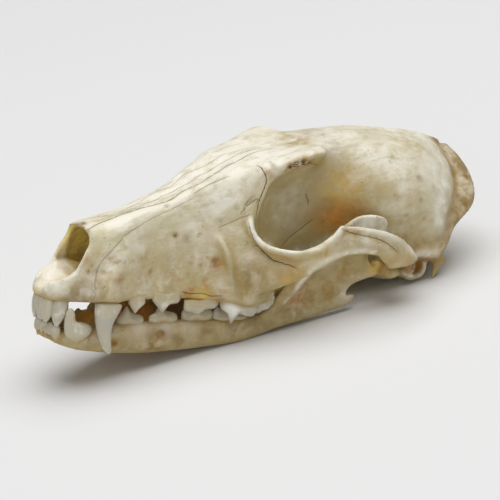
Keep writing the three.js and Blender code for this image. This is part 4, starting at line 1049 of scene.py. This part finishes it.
JAW_DABS = {
    "rust": [(300, 297, 3.6, 0.6), (297, 291, 2.4, 0.5), (382, 267, 2.6, 0.5), (161, 334, 1.5, 0.9),
        (114, 343, 1.2, 0.8)],
    "amber": [(343, 270, 3.6, 0.6), (330, 288, 4.5, 0.4), (320, 292, 4.5, 0.4), (305, 285, 3.5, 0.3),
        (345, 296, 3, 0.4), (155, 333, 2.4, 0.6), (112, 342, 2, 0.7), (60, 334, 2, 0.7),
        (64, 330, 1.6, 0.8), (92, 329, 2, 0.6), (146, 319, 1.6, 0.9), (180, 317, 1.8, 0.9),
        (218, 315, 2.4, 0.5)],
    # gold: painted glow in the shaded hollow under the cheek arch
    "gold": [(375, 262, 3.4, 0.9)],
    "brown": [(190, 334, 6, 0.55), (230, 330, 7, 0.6), (262, 320, 7, 0.6), (210, 322, 4, 0.4),
        (140, 343, 5, 0.5), (160, 342, 5, 0.55), (285, 308, 6, 0.5), (120, 348, 3, 0.5), (150, 338, 5, 0.6),
        (172, 337, 5, 0.6), (155, 336, 8, 0.9), (130, 336, 5, 0.6), (178, 333, 7, 0.85), (205, 329, 6, 0.7),
        (145, 342, 5, 0.6), (110, 338, 5, 0.5), (310, 300, 5, 0.45)],
    "worn": [(130, 330, 4, 0.6), (340, 285, 6, 0.5)],
    # dark: painted shadow in the two small holes of the jaw's side
    "dark": [(161, 334, 1.2, 0.8), (114, 343.4, 1, 0.6)],
    # white: painted light on the top of the jaw's rear plate, with paler bone along the gum edge
    "white": [(362, 223, 4, 1), (372, 221, 4, 1), (381, 224, 4, 0.9), (345, 294, 3, 0.4),
        (140, 326, 4, 0.3), (165, 324.5, 4, 0.3), (190, 322.5, 4, 0.25), (330, 262, 3, 0.2)],
}
# Places full of small brown specks: corners of a region of the photograph and how many
SPECKLED = [
    ((140, 256, 214, 292), 60), ((84, 258, 126, 298), 40), ((180, 205, 250, 245), 16),
    ((255, 160, 330, 210), 14), ((360, 150, 450, 235), 22),
]
# Colours on the faces that look inwards, on both sides, mostly painted light and shade inside the nose and
# mouth: place in the drawing, radius and strength
INNER_DABS = {
    "gold": [(14, -4, -9, 5, 0.8), (20, -5, -9, 5, 0.9), (11, -6, 12, 5, 1), (15, -7, 14, 7, 1),
        (21, -7, 14, 7, 1), (28, -7, 14, 7, 1), (36, -7, 14, 8, 1)],
    # orange: painted light on the shaded inner faces of the jaws
    "orange": [(17, -4, -9, 6, 0.5), (31, -6.6, -9, 5.5, 1), (40, -7.6, -9, 6, 1)],
    "rust": [(51, -8.6, -9, 4.5, 0.9), (28, -6, 0, 4, 0.6), (42, -8, 0, 5, 0.6)],
    "amber": [(20, 0, 1.6, 7, 0.6), (32, 0, 1.6, 7, 0.6), (44, 0, 1.6, 7, 0.6), (56, 0, 1.6, 7, 0.6),
        (68, 0, 1.6, 7, 0.6)],
}
JAW_WORN = 0.72  # how worn the jaw is all over
WORN_BROWN = 0.65  # share of the wear that is brown too
NECK_AMBER = 0.55  # stain round each tooth
CREST_BAND, CREST_BROWN, CREST_AMBER = 6.4, 0.6, 0.4  # width of the band along the rear crest and how brown and amber it is, partly painted shade in the hollow before the crest's flange
# Hollows, and swellings where the depth is below zero: pixel, radius in millimetres and depth
PITS = [
    (166.8, 206.1, 0.7, 0.5), (175.7, 235.7, 0.8, 0.6), (103, 272, 0.7, 0.3), (118, 263, 0.7, 0.35),
    (204.3, 281, 0.6, 0.4), (205.5, 286, 0.7, 0.4), (203, 283.5, 0.5, 0.3), (217, 262, 1.6, 0.5),
    (258, 307, 2, 0.9), (284, 277, 2.6, 0.8), (300, 180, 9, 0.5), (415, 264, 3.4, 1.2),
    (405, 270, 2.4, -0.6), (392, 274, 3, -0.7), (420, 271, 2.6, -0.5), (410, 276, 2.4, -0.6),
    (428, 257, 3, -0.5), (230, 282, 4, 0.5), (150, 240, 8, 0.3), (320, 166, 2, 0.7), (312, 163, 1.6, 0.6),
    (330, 208, 3, 0.5), (346, 160, 7, 0.3), (432, 150, 5, 0.5), (455, 180, 3.6, 0.4), (456, 200, 3.6, 0.4),
    (450, 222, 3.6, 0.4),
]
JAW_PITS = [
    (140, 348.6, 1.6, -0.55), (149, 348, 1.5, -0.5), (157, 346.4, 1.3, -0.4), (240, 335.5, 1.2, -0.3),
    (161, 334, 1.3, 1.1), (114, 343.4, 1.1, 1), (340, 284, 8, 0.9), (320, 290, 6, 0.5), (373, 263, 3.4, 1),
    (200, 332, 6, 0.2), (308, 294, 3, 0.5), (345, 232, 5, 0.3),
]

# Colours that vary the bone and the enamel
OLIVE, PINKISH = (0.62, 0.60, 0.36), (0.62, 0.46, 0.33)
DARK_STREAK, PALE_STREAK = (0.42, 0.36, 0.19), (0.95, 0.92, 0.82)
ENAMEL_STREAK, ENAMEL_GREY = (0.52, 0.45, 0.30), (0.48, 0.43, 0.40)
ENAMEL_PALE, ENAMEL_BRIGHT = (0.88, 0.86, 0.78), (0.95, 0.93, 0.86)
GUM_STAIN, INNER_SIDE_TINT, ROOT_COLOUR = (0.48, 0.38, 0.19), (0.60, 0.30, 0.08), (0.50, 0.36, 0.12)

# The stage, in metres: lamps by name, place, size and power
LAMPS = [("key", (0.12, 0.02, 1.3), 1.6, 21.0), ("fill", (-0.8, -0.7, 0.35), 0.8, 2.2)]
LAMPS_AIM = (0, 0, 0.02)
FLOOR_SIZE, FLOOR_COLOUR, SKY_STRENGTH, SENSOR_WIDTH = 6, (0.79, 0.79, 0.79, 1), 0.17, 36


def nose_hollow():
    """Rings of the nose's cavity: the cranium's own sections drawn in by a thin wall, open at the front."""
    shell = cranium_shell(240, 10)
    at = shell[:, 0, 0]
    lip_x, lip_z = np.array(NOSE_LIP).T
    rings = []
    for x in np.linspace(NOSE_START, NOSE_END, 70):
        ring = shell[np.argmin(np.abs(at - max(x, NOSE_FRONT)))][:, 1:]
        step = np.roll(ring, -1, axis=0) - np.roll(ring, 1, axis=0)
        inward = np.stack([-step[:, 1], step[:, 0]], axis=1)
        inward /= np.linalg.norm(inward, axis=1, keepdims=True) + 1e-9
        middle = ring.mean(axis=0)
        inward *= np.sign(np.einsum("ij,ij->i", inward, middle - ring))[:, None]
        wall = NOSE_WALL + max(x - WALL_BACK, 0) * WALL_BACK_RATE
        wall += WALL_FRONT_GAIN * np.clip((WALL_FRONT - x) / WALL_FRONT_RUN, 0, 1)
        ring = ring + inward * wall
        gutter = GUTTER_DEPTH * np.clip(1 - (ring[:, 0] / GUTTER_HALF) ** 2, 0, 1)
        floor = np.interp(x, lip_x, lip_z) - gutter
        ring[:, 1] = np.maximum(ring[:, 1], floor)
        ring = middle + (ring - middle) * np.clip((NOSE_END - x) / NOSE_CLOSING, 0.05, 1) ** 0.5
        rings.append(np.column_stack([np.full(len(ring), x), ring]))
    return rings


def smoothed(piece, rounds):
    clay = Clay(piece)
    clay.relax(rounds)
    clay.update()
    return piece


def cranium_hollows():
    """Everything that is cut out of the grown cranium but the eye sockets."""
    bm = bmesh.new()
    skin(bm, nose_hollow())
    skin(bm, bar(NOSE_GUTTER, 40, 30))
    edge = np.array([(x, 0, z) for x, z in NOSE_EDGE], float)
    skin(bm, [edge + (0, out, 0) for out in (-NOSE_EDGE_REACH, NOSE_EDGE_REACH)])
    skin(bm, bar(CHOANA, 40, 24))
    both(bm, (CANAL, 30, 20))
    lumps(bm, [FORAMEN_MAGNUM], [1])
    for side in SIDES.values():
        lumps(bm, [EAR_CANAL, PALATINE_SLOT], [side])
    return fused(mesh_of(bm, "cranium_hollows"), HOLLOW_GRAIN)


def cranium_clay(grain):
    """The cranium's bones melted into one skin and hollowed out."""
    bm = bmesh.new()
    skin(bm, cranium_shell())
    both(bm, *FIRST_BARS)
    skin(bm, bar(SAGITTAL_CREST, 40, 16))
    lumps(bm, FIRST_LUMPS)
    piece = smoothed(fused(mesh_of(bm, "cranium_bone"), grain), 14)
    bm = bmesh.new()
    lumps(bm, [EYE_HOLLOW])
    carved(piece, mesh_of(bm, "eye_hollows"))
    bm = reopened(piece)
    both(bm, *LATER_BARS)
    lumps(bm, INCISOR_SWELLINGS)
    piece = smoothed(fused(mesh_of(bm, "cranium_bone"), grain * LATER_GRAIN), 4)
    carved(piece, cranium_hollows())
    bm = reopened(piece)
    both(bm, (NOSE_RIM, 70, 16, (1, 0.3, 0)))
    piece = fused(mesh_of(bm, "cranium_bone"), grain * LAST_GRAIN)
    clay = Clay(piece)
    clay.relax(3)
    clay.uneven()
    clay.update()
    return piece


def ramus_rings():
    """Rings of the plate behind the teeth, from one face to the other, leaning outwards as it rises."""
    outline = closed_runs(np.array([[(x, 0, z) for x, z in RAMUS_OUTLINE]], float), 6)[0]
    inward = outline.mean(axis=0) - outline
    reach = np.linalg.norm(inward, axis=1, keepdims=True)
    rings = []
    for offset, size in RAMUS_STEPS:
        ring = outline + (inward * (1 - size) if size < 0.9 else inward / reach * (1 - size) * RAMUS_EDGE)
        ring[:, 1] = RAMUS_AT[1] - (RAMUS_OUT[0] * (ring[:, 0] - RAMUS_AT[0])
                                    + RAMUS_OUT[1] * (ring[:, 2] - RAMUS_AT[2])) + offset * RAMUS_THICK / 2
        rings.append(ring)
    return rings


def jaw_clay(grain, side):
    """One half of the lower jaw melted into one skin."""
    bm = bmesh.new()
    turn = np.linspace(0, 2 * math.pi, 40, endpoint=False)
    across, up = (np.sign(v) * np.abs(v) ** JAW_ROUNDNESS for v in (np.cos(turn), np.sin(turn)))
    x, y, half, top, low = run(JAW_BODY, 150).T[:, :, None]
    skin(bm, np.stack([x + 0 * turn, y + half * across, (top + low) / 2 + up * (top - low) / 2], axis=2))
    skin(bm, bar(RAMUS_RIDGE, 60, 20, (1, 0, 0)))
    lumps(bm, [JAW_CONDYLE], [1])
    skin(bm, ramus_rings())
    piece = fused(mesh_of(bm, f"lower_jaw_{side}_bone"), grain)
    clay = Clay(piece)
    clay.relax(6)
    clay.uneven()
    clay.place[:, 1] = np.minimum(clay.place[:, 1], -SYMPHYSIS_GAP / 2) * SIDES[side]
    clay.update()
    if SIDES[side] < 0:
        piece.data.flip_normals()
    return piece


def found_lines(tree, drawn):
    """Pixel lines of the photograph found on the skin."""
    found = [(on_skin(tree, pixels, 10 * len(pixels)), *rest) for pixels, *rest in drawn]
    return [line for line in found if len(line[0]) > 1]


def feel_sky(clay, tree):
    """Marks every point with how open it lies to the sky and how closely other bone shuts it in."""
    normals = clay.normals()
    turn = math.pi * (3 - math.sqrt(5))
    heights = [1 - (2 * k + 1) / SKY_RAYS for k in range(SKY_RAYS)]
    rays = np.array([(math.sqrt(1 - z * z) * math.cos(turn * k), math.sqrt(1 - z * z) * math.sin(turn * k), z)
                     for k, z in enumerate(heights)])
    sky = (np.array(TO_FRAME.to_3x3().normalized()) @ rays.T)[2]
    weights = np.clip(normals @ rays.T, 0, None)
    weights[weights < 0.1] = 0
    starts = clay.place + normals * LIFT
    lit, shut = np.zeros(clay.count), np.zeros(clay.count)
    for k, ray in enumerate(rays):
        look = Vector(ray)
        for i in np.nonzero(weights[:, k])[0]:
            far = tree.ray_cast(Vector(starts[i]), look, REACH)[3]
            if far is None:
                if sky[k] > 0:
                    lit[i] += weights[i, k]
            elif far < CLOSE_BY:
                shut[i] += weights[i, k] * (1 - far / CLOSE_BY)
    total = weights.sum(axis=1) + 1e-6
    clay.mark("lit", clay.blurred(lit / total, 3))
    clay.mark("shut", clay.blurred(shut / total, 2))
    smooth = clay.blurred(clay.place, 12)
    clay.mark("hollow", np.einsum("ij,ij->i", smooth - clay.place, normals))


def specks():
    """Small specks strewn over the near side: pixel, radius, stain and strength."""
    chance = random.Random(11)
    return [(chance.uniform(x0, x1), chance.uniform(y0, y1), chance.uniform(0.35, 1.1),
             chance.choice(("brown", "grey", "brown", "rust")), chance.uniform(0.25, 0.7))
            for (x0, y0, x1, y1), count in SPECKLED for _ in range(count)]


def stain(clay, dabs, edges, worn, strewn, bands):
    """Marks what is stained or worn, and painted light and shade among the dabs, edges and bands: all over by
    so much, in dabs, round the teeth, on edges and in bands.
    """
    marks = {name: np.zeros(clay.count) for name in ("worn", "amber", *STAINS)}

    def lay(name, values):
        marks[name] = np.maximum(marks[name], values)

    lay("worn", worn)
    lay("brown", worn * WORN_BROWN)
    normals = clay.normals()
    own = clay.skin_tree()
    spots = [(np.array((x, side * y, z)), np.array((0, -side * np.sign(y), 0)), radius, name, amount)
             for name, places in INNER_DABS.items() for x, y, z, radius, amount in places for side in (1, -1)]
    seen = [(u, v, radius, name, amount) for name, places in dabs.items() for u, v, radius, amount in places]
    spots += [(*found, *rest) for u, v, *rest in (*seen, *strewn) for found in facing_skin(own, (u, v))]
    for at, normal, radius, name, amount in spots:
        one_sided = name == "gold" or (radius < SPOTS_OF_ONE_SIDE and name in ("rust", "grey"))
        for flip in ((1, side, 1) for side in ((1,) if one_sided else (1, -1))):
            faces = np.clip(0.6 + 2 * normals @ (normal * flip), 0, 1) if normal.any() else 1
            lay(name, amount * faces * np.exp(-(clay.off_spot(at * flip, radius) ** 2)))
    for tooth in (*UPPER_TEETH.values(), *LOWER_TEETH.values()):
        ends = [row[0] for row in tooth["crest"]] if "crest" in tooth else tooth["edges"][0][1:3]
        reach = ((ends[-1] - ends[0]) / 2 + 1.2, tooth.get("wide", 4) / 2 + 1.6, 1.6)
        for middle in both_sides(np.array(tooth["at"])):
            lay("amber", NECK_AMBER * np.exp(-(clay.off_spot(middle, reach) ** 4)))
    # Edges get pale wear and a painted highlight
    for points, width, amount in found_lines(own, edges):
        for side in both_sides(points):
            lay("white", amount * np.exp(-((clay.off_line(side)[0] / width) ** 2)))
    # The band along the rear crest: brown and amber, partly painted shade before the crest's flange
    for points in bands:
        band = np.exp(-((clay.off_line(points)[0] / CREST_BAND) ** 6))
        lay("brown", CREST_BROWN * band)
        lay("amber", CREST_AMBER * band)
    for name, values in marks.items():
        clay.mark(name, values)


def tooth_piece(jaw, side, name, tooth, sides):
    """One tooth, standing in its place in the drawing."""
    cheek, outwards = "crest" in tooth, 1 if jaw == "upper" else -1
    bm = bmesh.new()
    skin(bm, cheek_rings(tooth, 2 * sides, outwards) if cheek else pointed_rings(tooth, sides))
    piece = mesh_of(bm, f"{jaw}_{side}_{name}_tooth")
    clay = Clay(piece)
    clay.relax(2)
    neck = heights_at(tooth["neck"], clay.place[:, 0]) if cheek else tooth["edges"][0][0]
    clay.push([TOOTH_SWELL * rumple.noise(Vector(p) / TOOTH_WAVE + Vector(tooth["at"])) for p in clay.place])
    clay.update()
    clay.mark("crown", clay.place[:, 2] - neck - (LOWER_GUM if jaw == "lower" else 0))
    clay.mark("inner", -outwards * clay.place[:, 1])
    glow = clay.off_spot(tooth.get("bright", NO_PATCH), BRIGHT_REACH)
    clay.mark("bright", np.exp(-(glow**4)))
    place = stand(tooth, side, jaw == "upper")
    piece.data.transform(place)
    if place.determinant() < 0:
        piece.data.flip_normals()
    return piece


class SKULL_OT_cranium(bpy.types.Operator):
    """Builds the cranium"""
    bl_idname = "skull.cranium"
    bl_label = "Cranium"

    def execute(self, context):
        piece = cranium_clay(context.scene.skull_sizes.cranium_grain)
        clay = Clay(piece)
        tree = clay.skin_tree()
        clay.press(tree, PITS)
        for points, width, height in found_lines(tree, STROKES):
            for side in both_sides(points):
                clay.stroke(side, width, height)
        seams = [(side, darkness * share, depth) for points, darkness, depth in found_lines(tree, SEAMS)
                 for side, share in zip(both_sides(points), (1, FAR_SHARE))]
        seams += found_lines(tree, CRACKS)
        top = [tree.ray_cast(Vector((x, 0.25 * math.sin(x), 80)), Vector((0, 0, -1)))[0]
               for x in np.linspace(*MIDDLE_SEAM_RUN, 90)]
        seams.append((np.array([p for p in top if p is not None]), *MIDDLE_SEAM))
        for points, _, depth in seams:
            clay.stroke(points, SEAM_WIDTH, -depth)
        clay.lines(seams)
        clay.update()
        settle(piece, "cranium", material_of("dry_bone", bone_material))
        return {"FINISHED"}


class SKULL_OT_lower_jaw(bpy.types.Operator):
    """Builds both halves of the lower jaw"""
    bl_idname = "skull.lower_jaw"
    bl_label = "Lower jaw"

    def execute(self, context):
        near_tree = None
        for side in SIDES:
            piece = jaw_clay(context.scene.skull_sizes.jaw_grain, side)
            clay = Clay(piece)
            tree = clay.skin_tree()
            clay.press(tree, JAW_PITS)
            near_tree = near_tree or tree
            for points, width, height in found_lines(near_tree, JAW_STROKES):
                clay.stroke(points * (1, SIDES[side], 1), width, height)
            clay.lines([])
            clay.update()
            settle(piece, f"lower_jaw_{side}", material_of("dry_bone", bone_material))
        return {"FINISHED"}


class SKULL_OT_stain_and_shade(bpy.types.Operator):
    """Stains the bones where the photograph shows it, and marks where the sky reaches them for their painted
    light and shade
    """
    bl_idname = "skull.weather"
    bl_label = "Weather the bones"

    def execute(self, context):
        names = ("cranium", *(f"lower_jaw_{side}" for side in SIDES))
        bones = [bpy.data.objects[f"{name}_bone"] for name in names]
        bm = bmesh.new()
        for piece in bones:
            piece.data.transform(TO_FRAME.inverted())
            bm.from_mesh(piece.data)
        tree = BVHTree.FromBMesh(bm)
        bm.free()
        crest = both_sides(run([station[:3] for station in NUCHAL_CREST], 40))
        jaw = (JAW_DABS, JAW_EDGES, JAW_WORN, [], [])
        for piece, stains in zip(bones, ((DABS, EDGES, 0, specks(), crest), jaw, jaw)):
            clay = Clay(piece)
            feel_sky(clay, tree)
            stain(clay, *stains)
            piece.data.transform(TO_FRAME)
        return {"FINISHED"}


class SKULL_OT_teeth(bpy.types.Operator):
    """Builds the forty-two teeth"""
    bl_idname = "skull.teeth"
    bl_label = "Teeth"

    def execute(self, context):
        enamel = material_of("tooth_enamel", enamel_material)
        for jaw, row in (("upper", UPPER_TEETH), ("lower", LOWER_TEETH)):
            for name, tooth in row.items():
                for side in SIDES:
                    piece = tooth_piece(jaw, side, name, tooth, context.scene.skull_sizes.tooth_sides)
                    settle(piece, f"{jaw}_{side}_{name}", enamel)
        return {"FINISHED"}


class SKULL_OT_stage(bpy.types.Operator):
    """Sets the pale floor, the soft light and the camera of the photograph"""
    bl_idname = "skull.stage"
    bl_label = "Stage"

    def execute(self, context):
        bm = bmesh.new()
        bmesh.ops.create_grid(bm, x_segments=1, y_segments=1, size=FLOOR_SIZE)
        floor = mesh_of(bm, "floor")
        made, _, shader = surface("floor")
        shader.inputs["Base Color"].default_value = FLOOR_COLOUR
        shader.inputs["Roughness"].default_value = 0.9
        floor.data.materials.append(made)
        world = bpy.data.worlds.new("studio")
        world.use_nodes = True
        sky = world.node_tree.nodes["Background"].inputs
        sky["Color"].default_value = (1, 1, 1, 1)
        sky["Strength"].default_value = SKY_STRENGTH
        context.scene.world = world
        for name, place, size, power in LAMPS:
            lamp = bpy.data.lights.new(name, "AREA")
            lamp.size, lamp.energy = size, power
            made = bpy.data.objects.new(name, lamp)
            made.location = place
            made.rotation_euler = (Vector(LAMPS_AIM) - Vector(place)).to_track_quat("-Z", "Y").to_euler()
            context.scene.collection.objects.link(made)
        start, look = photo_ray(PHOTO_SIDE / 2, PHOTO_SIDE / 2)
        turn = TO_FRAME.to_3x3().normalized()
        back = -(turn @ Vector(look)).normalized()
        right = (turn @ Vector(photo_ray(PHOTO_SIDE / 2, 0)[1])).cross(back).normalized()
        lens = bpy.data.cameras.new("camera")
        lens.sensor_width = SENSOR_WIDTH
        lens.lens = SENSOR_WIDTH * CAMERA_FOCUS / PHOTO_SIDE
        lens.clip_end = 20
        camera = bpy.data.objects.new("camera", lens)
        camera.matrix_world = Matrix((right, back.cross(right), back)).transposed().to_4x4()
        camera.location = TO_FRAME @ Vector(start)
        context.scene.collection.objects.link(camera)
        context.scene.camera = camera
        context.scene.view_settings.view_transform = "Standard"
        return {"FINISHED"}


class SKULL_PT_panel(bpy.types.Panel):
    """Lists the steps that build the skull"""
    bl_idname = "SKULL_PT_panel"
    bl_label = "Fox skull"
    bl_space_type = "VIEW_3D"
    bl_region_type = "UI"
    bl_category = "Fox skull"

    def draw(self, context):
        for owner in (context.scene.skull_sizes, context.scene.skull_colours):
            for name in owner.__annotations__:
                self.layout.prop(owner, name)
        for step in OPERATORS:
            self.layout.operator(step.bl_idname)


OPERATORS = (SKULL_OT_cranium, SKULL_OT_lower_jaw, SKULL_OT_stain_and_shade, SKULL_OT_teeth, SKULL_OT_stage)
CLASSES = (SkullSizes, SkullColours, *OPERATORS, SKULL_PT_panel)


def register():
    for each in CLASSES:
        bpy.utils.register_class(each)
    bpy.types.Scene.skull_sizes = PointerProperty(type=SkullSizes)
    bpy.types.Scene.skull_colours = PointerProperty(type=SkullColours)


def unregister():
    del bpy.types.Scene.skull_colours
    del bpy.types.Scene.skull_sizes
    for each in reversed(CLASSES):
        bpy.utils.unregister_class(each)


def main():
    register()
    bpy.ops.skull.cranium()
    bpy.ops.skull.lower_jaw()
    bpy.ops.skull.weather()
    bpy.ops.skull.teeth()
    bpy.ops.skull.stage()


if __name__ == "__main__":
    main()
